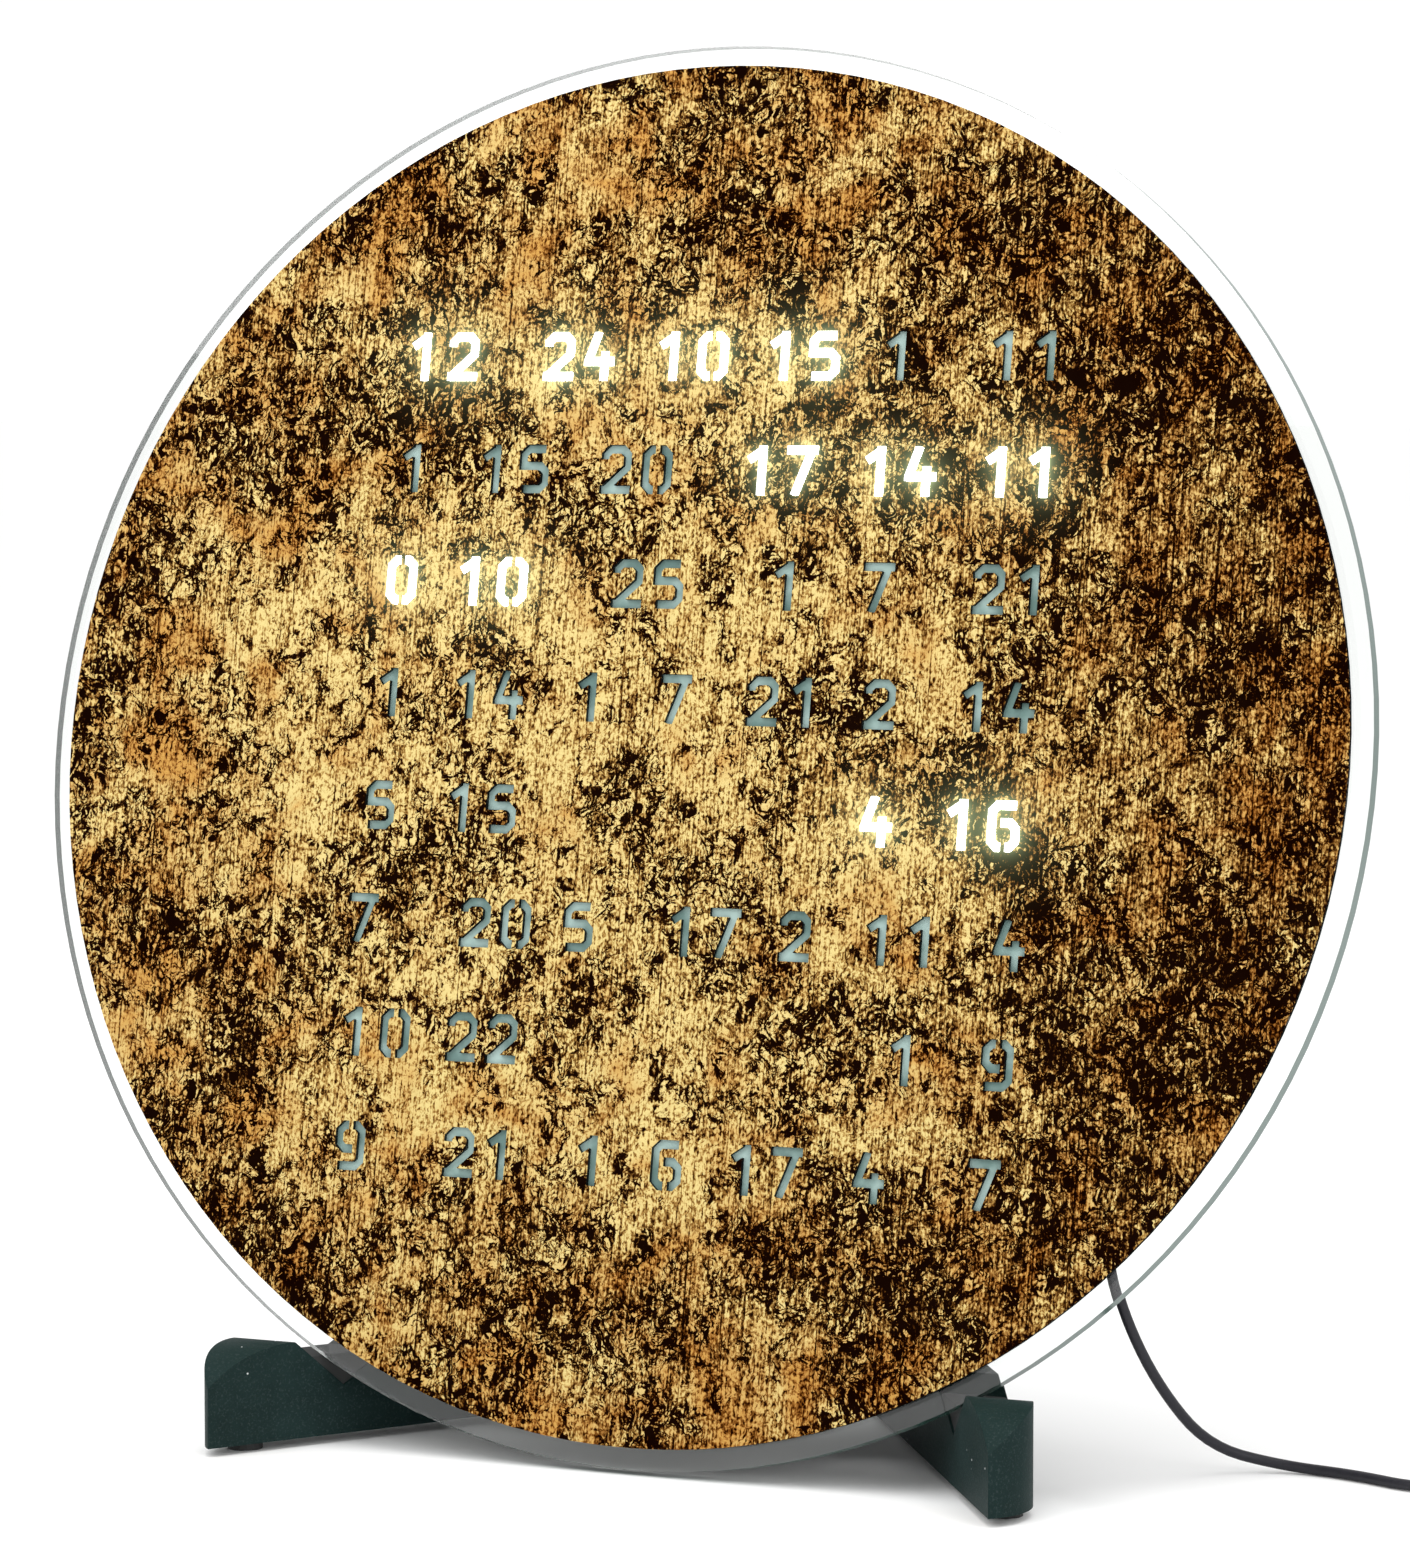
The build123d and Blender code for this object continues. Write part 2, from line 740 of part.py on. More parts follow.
with BuildPart() as arm_right:
    with BuildSketch(arm_plane):
        with BuildLine():
            Polyline((0, 0), (arm_len, 0), (arm_len, -arm_w), (nose_round, -arm_w))
            TangentArc((nose_round, -arm_w), (0, 0), tangent=(-1, 0))
        make_face()
    extrude(amount=arm_h)
    with BuildSketch(Plane.YZ) as profile:
        with BuildLine():
            TangentArc(crown, (nose_y, arm_z + nose_h), tangent=(-1, 0))
            Line((nose_y, arm_z + nose_h), (nose_y, arm_z))
            Polyline((nose_y, arm_z), (rear_y, arm_z), (rear_y, arm_top), block, notch, crown)
        make_face()
        fillet(profile.vertices().group_by(Axis.Y)[-1].sort_by(Axis.X)[-1], tail_round)
        fillet(profile.vertices().group_by(Axis.Y)[-1].sort_by(Axis.X)[0:2], crown_fillet)
    extrude(amount=glass_dia, both=True, mode=Mode.INTERSECT)
    with BuildSketch(arm_plane.offset(arm_h)):
        with Locations(*stand_screw_spots):
            RegularPolygon(stand_screw_dia / 2, hole_sides)
    extrude(amount=-stand_screw_depth, mode=Mode.SUBTRACT)
arm_right.part.label = "arm_right"
export_step(arm_right.part, "parts/arm_right.step")

with BuildPart() as arm_left:
    mirror(arm_right.part, about=Plane.YZ)
arm_left.part.label = "arm_left"
export_step(arm_left.part, "parts/arm_left.step")

# Rubber saddles: the foot of the notch filled up to the glass, and grooved by its edge
edge_z = centre_z + edge_v * cos_lean - stack * sin_lean
saddle_z = edge_z + saddle_grip

with BuildPart() as saddle_right:
    with BuildSketch(arm_plane):
        with Locations((0, -saddle_inset)):
            Rectangle(arm_len, arm_w - 2 * saddle_inset, align=(Align.MIN, Align.MAX))
    extrude(amount=arm_h)
    front_run = notch_front / (arm_h - notch_h)
    rear_run = notch_rear / (arm_h - notch_h)
    rise = saddle_z - notch[1]
    with BuildSketch(Plane.YZ):
        with BuildLine():
            Polyline(
                notch,
                (notch_y - front_run * rise, saddle_z),
                (notch_y + rear_run * rise, saddle_z),
                close=True,
            )
        make_face()
    extrude(amount=glass_dia, both=True, mode=Mode.INTERSECT)
    with BuildSketch(head):
        Circle(glass_r + slide_gap / 4)
    extrude(amount=-(stack + slide_gap / 4), mode=Mode.SUBTRACT)
saddle_right.part.label = "saddle_right"
export_step(saddle_right.part, "parts/saddle_right.step")

with BuildPart() as saddle_left:
    mirror(saddle_right.part, about=Plane.YZ)
saddle_left.part.label = "saddle_left"
export_step(saddle_left.part, "parts/saddle_left.step")

with BuildPart() as foot_pads:
    with BuildSketch(arm_plane):
        with Locations((pad_nose, -arm_w / 2), (pad_tail, -arm_w / 2)):
            RegularPolygon(pad_dia / 2, round_sides)
    extrude(amount=-pad_t)
    mirror(about=Plane.YZ)
foot_pads.part.label = "foot_pads"
export_step(foot_pads.part, "parts/foot_pads.step")

# Bent plate: a foot screwed on the arms and an upright that the head is screwed to
upright_front = cover_back + felt_t
upright_back = upright_front + plate_t
fold_run = sin_lean / cos_lean


def upright_y(distance, z):
    """Y of the upright's face at this depth where it is at height z."""
    return side_point(0, distance)[0] + (z - side_point(0, distance)[1]) * fold_run


plate_top = arm_top + plate_t
fold_y = upright_y(upright_front, arm_top)
inner_fold_y = upright_y(upright_back, plate_top)
plate_rear = rear_y - plate_rear_gap
shoulder_y = fold_y + 3 * plate_t
foot_reach = (arm_w / 2 + stand_head_dia / 2 + slide_gap + screw_margin) / cos_toe
gusset_v = (plate_top - centre_z + upright_back * sin_lean) / cos_lean


def sunk_screws(gap, length):
    """Both arms' countersunk screws, wider all round by this gap."""
    with BuildPart() as group:
        with BuildSketch(arm_plane.offset(arm_h + plate_t)):
            with Locations(*stand_screw_spots):
                RegularPolygon(stand_head_dia / 2 + gap, hole_sides)
        extrude(amount=-(head_rim + head_cone))
        chamfer(group.faces().sort_by(Axis.Z)[0:2].edges(), length=head_cone)
        with BuildSketch(arm_plane.offset(arm_h + plate_t)):
            with Locations(*stand_screw_spots):
                RegularPolygon(stand_screw_dia / 2 + gap, hole_sides)
        extrude(amount=-length)
        mirror(about=Plane.YZ)
    return group


with BuildPart() as stand_plate:
    with BuildSketch(Plane.YZ) as section:
        with BuildLine():
            Polyline(
                side_point(upright_top, upright_front),
                (fold_y, arm_top),
                (plate_rear, arm_top),
                (plate_rear, plate_top),
                (inner_fold_y, plate_top),
                side_point(upright_top, upright_back),
                close=True,
            )
        make_face()
        fillet(section.vertices().sort_by_distance((fold_y, arm_top))[0], plate_bend + plate_t)
        fillet(section.vertices().sort_by_distance((inner_fold_y, plate_top))[0], plate_bend)
    extrude(amount=glass_r, both=True)
    with BuildSketch(Plane.XY.offset(arm_top)):
        with BuildLine() as half_outline:
            Polyline(
                (0, fold_y - plate_t),
                (upright_w / 2, fold_y - plate_t),
                (upright_w / 2, shoulder_y),
                (inner_x(shoulder_y + arm_w) + foot_reach, shoulder_y + arm_w),
                (inner_x(plate_rear) + foot_reach, plate_rear),
                (0, plate_rear),
            )
            mirror(about=Plane.YZ)
        make_face()
    extrude(amount=centre_z, mode=Mode.INTERSECT)
    with BuildSketch(Plane.XY.offset(plate_top)):
        with Locations((0, fold_y)):
            Rectangle(glass_dia, depth)
            Rectangle(upright_w, depth, mode=Mode.SUBTRACT)
    extrude(amount=centre_z, mode=Mode.SUBTRACT)
    for x in (-gusset_x, gusset_x):
        with BuildSketch(Plane.YZ.offset(x)):
            with BuildLine():
                Polyline(
                    (inner_fold_y - plate_t / 2, plate_top - plate_t / 2),
                    (inner_fold_y + gusset_len, plate_top - plate_t / 2),
                    (inner_fold_y + gusset_len, plate_top + plate_t),
                    side_point(gusset_v + gusset_h, upright_back),
                    side_point(gusset_v + gusset_h, upright_back - plate_t / 2),
                    close=True,
                )
            make_face()
        extrude(amount=plate_t / 2, both=True)
    with BuildSketch(behind(upright_back)):
        with Locations(*rest_spots):
            RegularPolygon(stand_screw_dia / 2 + slide_gap, hole_sides)
    extrude(amount=plate_t, mode=Mode.SUBTRACT)
    add(sunk_screws(slide_gap, stand_screw_len).part, mode=Mode.SUBTRACT)
stand_plate.part.label = "stand_plate"
export_step(stand_plate.part, "parts/stand_plate.step")

stand_screws = sunk_screws(-slide_gap / 10, stand_screw_len - slide_gap)
stand_screws.part.label = "stand_screws"
export_step(stand_screws.part, "parts/stand_screws.step")

with BuildPart() as rest_pad:
    with BuildSketch(behind(cover_back)):
        with Locations((0, upright_top)):
            Rectangle(upright_w - 2 * plate_t, felt_h, align=(Align.CENTER, Align.MAX))
        with Locations(*rest_spots):
            RegularPolygon(stand_screw_dia / 2 + slide_gap, hole_sides, mode=Mode.SUBTRACT)
    extrude(amount=-felt_t)
rest_pad.part.label = "rest_pad"
export_step(rest_pad.part, "parts/rest_pad.step")

rest_screw_len = plate_t + felt_t + cover_t + rest_boss_h - seat_gap
rest_screws = screws(
    rest_spots, upright_back, rest_screw_len, stand_screw_dia, stand_head_dia, pan_head_h
)
rest_screws.part.label = "rest_screws"
export_step(rest_screws.part, "parts/rest_screws.step")

# Lead: from the boot down to the table, and off to the right to a coil
cord_r = cord_dia / 2
lead_start = lead_plane(plug_foot - boot_len).origin
lead_drop = lead_plane(plug_foot - boot_len - 4 * cord_dia).origin
coil_z = cord_r + tie_wall + tie_gap
coil_outer = coil_mid_dia / 2 + coil_turns * coil_pitch / 2
coil_half = coil_straight / 2
coil_start = (coil_x - coil_half - cord_dia, coil_y - coil_outer, coil_z)

lead_points = [
    (lead_start.X, lead_start.Y, lead_start.Z),
    (lead_drop.X, lead_drop.Y, lead_drop.Z),
    (130.4, -1.0, 46.0),
    (137.0, 8.5, 26.0),
    (146.0, 24.0, 7.5),
    (164.0, 35.0, cord_r),
    (186.0, 31.0, cord_r),
    (206.0, 21.0, cord_r),
    (222.0, coil_start[1], coil_z),
    coil_start,
]


def corner_radii(points):
    """Radius of each corner's arc: 0.45 of the shorter run over the tangent of half the turn."""
    corners = [Vector(*point) for point in points]
    radii = []
    for before, corner, after in zip(corners, corners[1:], corners[2:]):
        run_in = corner - before
        run_out = after - corner
        half_turn = math.radians(run_in.get_angle(run_out)) / 2
        radii.append(0.45 * min(run_in.length, run_out.length) / math.tan(half_turn))
    return radii


def cord_tube(points, name):
    """Tube along straight runs that are joined by tangent arcs."""
    radii = corner_radii(points)
    first_run = Vector(*points[1]) - Vector(*points[0])
    with BuildPart() as tube:
        with BuildLine() as route:
            FilletPolyline(*points, radius=radii)
        with BuildSketch(Plane(origin=points[0], x_dir=first_run.cross(Vector(0, 1, 1)), z_dir=first_run)):
            RegularPolygon(cord_r, cord_sides)
        sweep(path=route.wire())
    section = cord_sides * cord_r**2 * math.sin(2 * math.pi / cord_sides) / 2
    share = tube.part.volume / section / route.wire().length
    print(name, "radii", [round(radius, 1) for radius in radii])
    print(name, "length", round(route.wire().length, 1), "volume over section times length", round(share, 4))
    return tube


cord_lead = cord_tube(lead_points, "cord_lead")
cord_lead.part.label = "cord_lead"
export_step(cord_lead.part, "parts/cord_lead.step")

# Coil of long turns: a spiral inwards on the table side, half a turn that climbs, and a spiral
# outwards on top. Straight runs join the half turns, and every half turn is tangent to them.
# The coil's own axes are out, to the front of the clock, and along, to its right.
half_turns = 2 * coil_turns
shrink = coil_pitch / 2


def coil_point(out, along, height):
    """World point of a place in the coil."""
    return (coil_x + along, coil_y - out, coil_z + height)


def coil_direction(out, along, height):
    """World direction of a direction in the coil."""
    return (along, -out, height)


def spiral_ends():
    """Ends of the half turns: place along the coil's out axis, and height."""
    ends = [(coil_outer, 0)]
    radius = coil_outer
    heading = -1
    for turn in range(2 * half_turns + 2):
        climb = coil_pitch if turn == half_turns else 0
        ends.append((ends[-1][0] + heading * 2 * radius, ends[-1][1] + climb))
        heading = -heading
        radius += -shrink if turn < half_turns else shrink
    return ends


def least_gap(wire, samples):
    """Least gap between stretches of the wire that are more than four diameters apart along it."""
    points = [wire.position_at(index / samples) for index in range(samples + 1)]
    apart = math.ceil(4 * cord_dia / wire.length * samples)
    gap = wire.length
    for index, point in enumerate(points):
        for other in points[index + apart :]:
            gap = min(gap, (point - other).length - cord_dia)
    return gap


coil_ends = spiral_ends()
with BuildPart() as cord_coil:
    with BuildLine() as turns:
        Line(coil_start, coil_point(coil_outer, coil_half, 0))
        side = 1
        for (out_from, height_from), (out_to, height_to) in zip(coil_ends, coil_ends[1:]):
            rise = height_to - height_from
            reach = side * (coil_half + math.hypot(out_from - out_to, rise) / 2)
            turn_start = coil_point(out_from, side * coil_half, height_from)
            turn_top = coil_point((out_from + out_to) / 2, reach, (height_from + height_to) / 2)
            turn_end = coil_point(out_to, side * coil_half, height_to)
            TangentArc(turn_start, turn_top, tangent=coil_direction(0, side, 0))
            TangentArc(turn_top, turn_end, tangent=coil_direction(out_to - out_from, 0, rise))
            Line(turn_end, coil_point(out_to, -side * coil_half, height_to))
            side = -side
        tail_out, tail_height = coil_ends[-1]
        tail_start = coil_point(tail_out, coil_half + cord_dia, tail_height)
        Line(coil_point(tail_out, coil_half, tail_height), tail_start)
    with BuildSketch(Plane(origin=coil_start, x_dir=(0, -1, 0), z_dir=(1, 0, 0))):
        RegularPolygon(cord_r, cord_sides, rotation=180 / cord_sides)
    sweep(path=turns.wire())
cord_coil.part.label = "cord_coil"
export_step(cord_coil.part, "parts/cord_coil.step")
print("cord_coil length", round(turns.wire().length, 1), "least gap", round(least_gap(turns.wire(), 900), 2))

# Tie round the turns at the far side of the coil
far_side = [out for out, height in coil_ends if out < 0]
bundle_out = min(far_side) - cord_r - tie_gap
bundle_in = max(far_side) + cord_r + tie_gap
bundle_h = cord_dia + coil_pitch + 2 * tie_gap
with BuildPart() as cord_tie:
    with BuildSketch(Plane.YZ.offset(coil_x - tie_w / 2)):
        with Locations((coil_y - (bundle_out + bundle_in) / 2, coil_z + coil_pitch / 2)):
            Rectangle(bundle_in - bundle_out + 2 * tie_wall, bundle_h + 2 * tie_wall)
            Rectangle(bundle_in - bundle_out, bundle_h, mode=Mode.SUBTRACT)
    extrude(amount=tie_w)
cord_tie.part.label = "cord_tie"
export_step(cord_tie.part, "parts/cord_tie.step")

# Tail: from the top of the coil round its right side to the plug
usb_z = usb_h / 2
tail_points = [
    tail_start,
    (tail_start[0] + tail_lead, tail_start[1], tail_start[2]),
    (tail_start[0] + tail_reach, tail_start[1] + tail_lead, usb_z),
    (tail_start[0] + tail_reach, tail_start[1] + tail_lead + tail_reach, usb_z),
]

cord_tail = cord_tube(tail_points, "cord_tail")
cord_tail.part.label = "cord_tail"
export_step(cord_tail.part, "parts/cord_tail.step")

usb_rear = Plane(origin=tail_points[-1], x_dir=(1, 0, 0), z_dir=(0, -1, 0)).offset(-usb_boot_len)

usb_boot = strain_relief(usb_rear, boot_dia, usb_boot_len)
usb_boot.part.label = "usb_boot"
export_step(usb_boot.part, "parts/usb_boot.step")

with BuildPart() as usb_body:
    with BuildSketch(usb_rear):
        outline = Rectangle(usb_w, usb_h)
        chamfer(outline.vertices(), usb_h / 6)
    extrude(amount=-usb_len)
usb_body.part.label = "usb_body"
export_step(usb_body.part, "parts/usb_body.step")

with BuildPart() as usb_shell:
    with BuildSketch(usb_rear.offset(-usb_len)):
        Rectangle(usb_shell_w, usb_shell_h)
        Rectangle(usb_shell_w - 2 * usb_shell_wall, usb_shell_h - 2 * usb_shell_wall, mode=Mode.SUBTRACT)
    extrude(amount=-usb_shell_len)
usb_shell.part.label = "usb_shell"
export_step(usb_shell.part, "parts/usb_shell.step")

# Contact tongue: fills the lower half of the shell
tongue_h = (usb_shell_h - 2 * usb_shell_wall) / 2
with BuildPart() as usb_tongue:
    with BuildSketch(usb_rear.offset(-usb_len)):
        with Locations((0, -tongue_h / 2)):
            Rectangle(usb_shell_w - 2 * usb_shell_wall, tongue_h)
    extrude(amount=-(usb_shell_len - 2 * usb_shell_wall))
usb_tongue.part.label = "usb_tongue"
export_step(usb_tongue.part, "parts/usb_tongue.step")
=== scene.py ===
import math

import bmesh
import bpy
from bpy.props import FloatProperty, FloatVectorProperty, PointerProperty
from mathutils import Matrix, Vector


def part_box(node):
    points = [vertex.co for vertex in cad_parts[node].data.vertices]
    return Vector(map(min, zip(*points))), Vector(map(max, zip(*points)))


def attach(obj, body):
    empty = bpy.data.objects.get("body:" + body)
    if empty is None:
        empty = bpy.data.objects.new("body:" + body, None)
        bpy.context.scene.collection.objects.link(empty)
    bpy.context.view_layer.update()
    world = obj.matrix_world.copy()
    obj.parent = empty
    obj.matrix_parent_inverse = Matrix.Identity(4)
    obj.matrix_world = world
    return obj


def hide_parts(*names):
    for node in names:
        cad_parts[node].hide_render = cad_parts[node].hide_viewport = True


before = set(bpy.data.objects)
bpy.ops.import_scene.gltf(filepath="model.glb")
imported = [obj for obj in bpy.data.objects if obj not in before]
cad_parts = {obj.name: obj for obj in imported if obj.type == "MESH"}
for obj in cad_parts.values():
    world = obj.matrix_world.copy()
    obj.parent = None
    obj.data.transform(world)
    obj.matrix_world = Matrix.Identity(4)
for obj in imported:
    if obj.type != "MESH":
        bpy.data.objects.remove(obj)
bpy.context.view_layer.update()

bl_info = {
    "name": "Stencil table clock",
    "version": (1, 0, 0),
    "blender": (4, 5, 0),
    "location": "3D View > Sidebar > Clock",
    "description": "Round clock with a patinated panel, lit numerals, glass, stand and lead",
    "category": "Object",
}

# Lengths are in metres where no other unit is named
MM = 0.001
SAME_PLACE = 1e-7
SHARP_EDGE = math.radians(32)

# The disc's own directions, as seen from the front
LEAN = math.radians(10.87)
PANEL_THICKNESS = 1.5 * MM
FIELD_THICKNESS = 0.1 * MM
SIDEWAYS = Vector((1, 0, 0))
UPWARDS = Vector((0, math.sin(LEAN), math.cos(LEAN)))
OUTWARDS = Vector((0, -math.cos(LEAN), math.sin(LEAN)))

# Rows of numerals, and the groups that are lit: row, left edge and right edge, in millimetres
NUMERAL_HEIGHT = 14.0
FIRST_ROW = 103.8
ROW_PITCH = 32.4
LIT_MARGIN = 2.0
LIT_GROUPS = [
    (1, -93.6, -28.7),
    (1, -15.7, 40.1),
    (2, 13.8, 106.8),
    (3, -94.9, -50.5),
    (5, 56.3, 102.9),
]

# Camera of the photograph: place in millimetres, turn in degrees
CAMERA_PLACE = (613.33, -1381.78, 298.17)
CAMERA_TURN = (85.91, 0, 23.75)

# Soft lights: name, place, point that it faces, width in metres, and watts
LIGHTS = [
    ("key_light", (-0.9, -1.5, 1.5), (0, 0, 0.2), 1.2, 14),
    ("top_light", (0.2, -0.2, 1.9), (0, 0, 0.1), 1.4, 14),
    ("side_light", (1.6, -0.9, 0.8), (0, 0, 0.15), 1.0, 8),
]
FLOOR_REACH = 40.0

# Lead: the points that it follows, in millimetres
LEAD_ROUTE = [
    (126.0, -0.64, 76.02),
    (126.0, -2.9, 64.24),
    (130.4, -1.0, 46.0),
    (137.0, 8.5, 26.0),
    (146.0, 24.0, 7.5),
    (164.0, 35.0, 1.6),
    (186.0, 31.0, 1.6),
    (206.0, 21.0, 1.6),
    (222.0, 23.7, 2.6),
    (235.0, 23.7, 2.6),
]
COIL_CENTRE = (270.0, 41.0, 2.6)
COIL_MIDDLE_DIAMETER = 31.0
COIL_STRAIGHT = 64.0
COIL_PITCH = 3.6
COIL_HALF_TURNS = 2
STEPS_PER_HALF_TURN = 8
TAIL_ROUTE = [(3.0, 0.0, 0.0), (15.0, 0.0, 0.0), (33.0, 12.0, -2.4), (33.0, 54.0, -2.4)]
BOOT_WALL = 0.7


def millimetres(points):
    """Points given in millimetres as vectors in metres."""
    return [Vector(point) * MM for point in points]


def disc_origin():
    """Middle of the panel's front face."""
    low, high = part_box("front_panel")
    return (low + high) / 2 + OUTWARDS * (PANEL_THICKNESS / 2)


def disc_matrix(u, v, depth):
    """Matrix of a place this far behind the panel's front face, its Z out of the front."""
    origin = disc_origin() + SIDEWAYS * u + UPWARDS * v - OUTWARDS * depth
    matrix = Matrix((SIDEWAYS, UPWARDS, OUTWARDS)).transposed().to_4x4()
    matrix.translation = origin
    return matrix


def lit_boxes():
    """Middle and half size of each lit group, on the disc."""
    half_v = (NUMERAL_HEIGHT / 2 + LIT_MARGIN) * MM
    boxes = []
    for row, left, right in LIT_GROUPS:
        v = FIRST_ROW - (row - 1) * ROW_PITCH + NUMERAL_HEIGHT / 2
        half_u = ((right - left) / 2 + LIT_MARGIN) * MM
        boxes.append(((left + right) / 2 * MM, v * MM, half_u, half_v))
    return boxes


class Finish:
    """A material whose nodes are added by short calls."""

    def __init__(self, name):
        self.material = bpy.data.materials.new(name)
        self.material.use_nodes = True
        self.tree = self.material.node_tree
        self.shader = self.tree.nodes["Principled BSDF"]
        places = self.tree.nodes.new("ShaderNodeTexCoord")
        self.place = places.outputs["Object"]
        self.facing = places.outputs["Normal"]

    def join(self, value, socket):
        """Links a socket to another, or sets its value."""
        if isinstance(value, bpy.types.NodeSocket):
            self.tree.links.new(value, socket)
        else:
            socket.default_value = value

    def surface(self, **values):
        """Sets the shader's own sockets, such as Base_Color or Roughness."""
        for name, value in values.items():
            self.join(value, self.shader.inputs[name.replace("_", " ")])

    def moved(self, place=None, turn=(0, 0, 0), scale=(1, 1, 1), shift=(0, 0, 0)):
        """Coordinates that are scaled, turned and shifted."""
        node = self.tree.nodes.new("ShaderNodeMapping")
        self.join(place or self.place, node.inputs["Vector"])
        node.inputs["Rotation"].default_value = turn
        node.inputs["Scale"].default_value = scale
        node.inputs["Location"].default_value = shift
        return node.outputs["Vector"]

    def on_disc(self):
        """Coordinates from the middle of the panel: across, up, and out of its front."""
        turn = Matrix.Rotation(LEAN - math.pi / 2, 3, "X")
        return self.moved(turn=(LEAN - math.pi / 2, 0, 0), shift=turn @ -disc_origin())

    def noise(self, scale, detail=4.0, roughness=0.55, distortion=0.0, place=None, colour=False):
        """Noise of this many cells a metre."""
        node = self.tree.nodes.new("ShaderNodeTexNoise")
        self.join(place or self.place, node.inputs["Vector"])
        node.inputs["Scale"].default_value = scale
        node.inputs["Detail"].default_value = detail
        node.inputs["Roughness"].default_value = roughness
        node.inputs["Distortion"].default_value = distortion
        return node.outputs["Color" if colour else "Fac"]

    def cells(self, scale, feature="F1", place=None, randomness=1.0):
        """Distance in a pattern of this many cells a metre, from a cell's point or its edges."""
        node = self.tree.nodes.new("ShaderNodeTexVoronoi")
        node.feature = feature
        self.join(place or self.place, node.inputs["Vector"])
        node.inputs["Scale"].default_value = scale
        node.inputs["Randomness"].default_value = randomness
        return node.outputs["Distance"]

    def warped(self, place, scale, reach, detail=3.0):
        """Coordinates pushed about by noise, up to this far in metres."""
        shift = self.tree.nodes.new("ShaderNodeVectorMath")
        shift.operation = "MULTIPLY_ADD"
        self.join(self.noise(scale, detail, place=place, colour=True), shift.inputs[0])
        shift.inputs[1].default_value = (reach, reach, reach)
        self.join(place, shift.inputs[2])
        return shift.outputs["Vector"]

    def sum(self, operation, first, second=0.0, third=0.0):
        """Result of one operation on numbers."""
        node = self.tree.nodes.new("ShaderNodeMath")
        node.operation = operation
        for value, socket in zip((first, second, third), node.inputs):
            self.join(value, socket)
        return node.outputs["Value"]

    def span(self, value, low, high, start=0.0, end=1.0):
        """Value carried smoothly from the span low to high onto the span start to end."""
        node = self.tree.nodes.new("ShaderNodeMapRange")
        node.interpolation_type = "SMOOTHSTEP"
        names = ("Value", "From Min", "From Max", "To Min", "To Max")
        for name, number in zip(names, (value, low, high, start, end)):
            self.join(number, node.inputs[name])
        return node.outputs["Result"]

    def mix(self, share, first, second, kind="MIX"):
        """Mix of two colours."""
        node = self.tree.nodes.new("ShaderNodeMix")
        node.data_type = "RGBA"
        node.blend_type = kind
        self.join(share, node.inputs[0])
        self.join(first, node.inputs[6])
        self.join(second, node.inputs[7])
        return node.outputs[2]

    def ramp(self, value, *stops):
        """Colour for a value, blended between stops of a value and an RGB colour."""
        node = self.tree.nodes.new("ShaderNodeValToRGB")
        self.join(value, node.inputs["Fac"])
        marks = node.color_ramp.elements
        while len(marks) < len(stops):
            marks.new(0.5)
        for mark, (position, colour) in zip(marks, stops):
            mark.position = position
            mark.color = opaque(colour)
        return node.outputs["Color"]

    def relief(self, height, distance, strength=1.0):
        """Bumps of this depth in metres."""
        node = self.tree.nodes.new("ShaderNodeBump")
        self.join(height, node.inputs["Height"])
        node.inputs["Distance"].default_value = distance
        node.inputs["Strength"].default_value = strength
        return node.outputs["Normal"]

    def along(self, direction):
        """How far the surface faces a direction, from -1 to 1."""
        node = self.tree.nodes.new("ShaderNodeVectorMath")
        node.operation = "DOT_PRODUCT"
        self.join(self.facing, node.inputs[0])
        node.inputs[1].default_value = direction
        return node.outputs["Value"]

    def parts(self, vector):
        """The three numbers of a vector."""
        node = self.tree.nodes.new("ShaderNodeSeparateXYZ")
        self.join(vector, node.inputs["Vector"])
        return node.outputs

    def in_box(self, across, up, box):
        """1 inside a rectangle on the disc, 0 outside."""
        u, v, half_u, half_v = box
        near_u = self.sum("COMPARE", across, u, half_u)
        near_v = self.sum("COMPARE", up, v, half_v)
        return self.sum("MULTIPLY", near_u, near_v)


def opaque(colour):
    """An RGB colour with an alpha of 1."""
    return (*colour, 1.0)


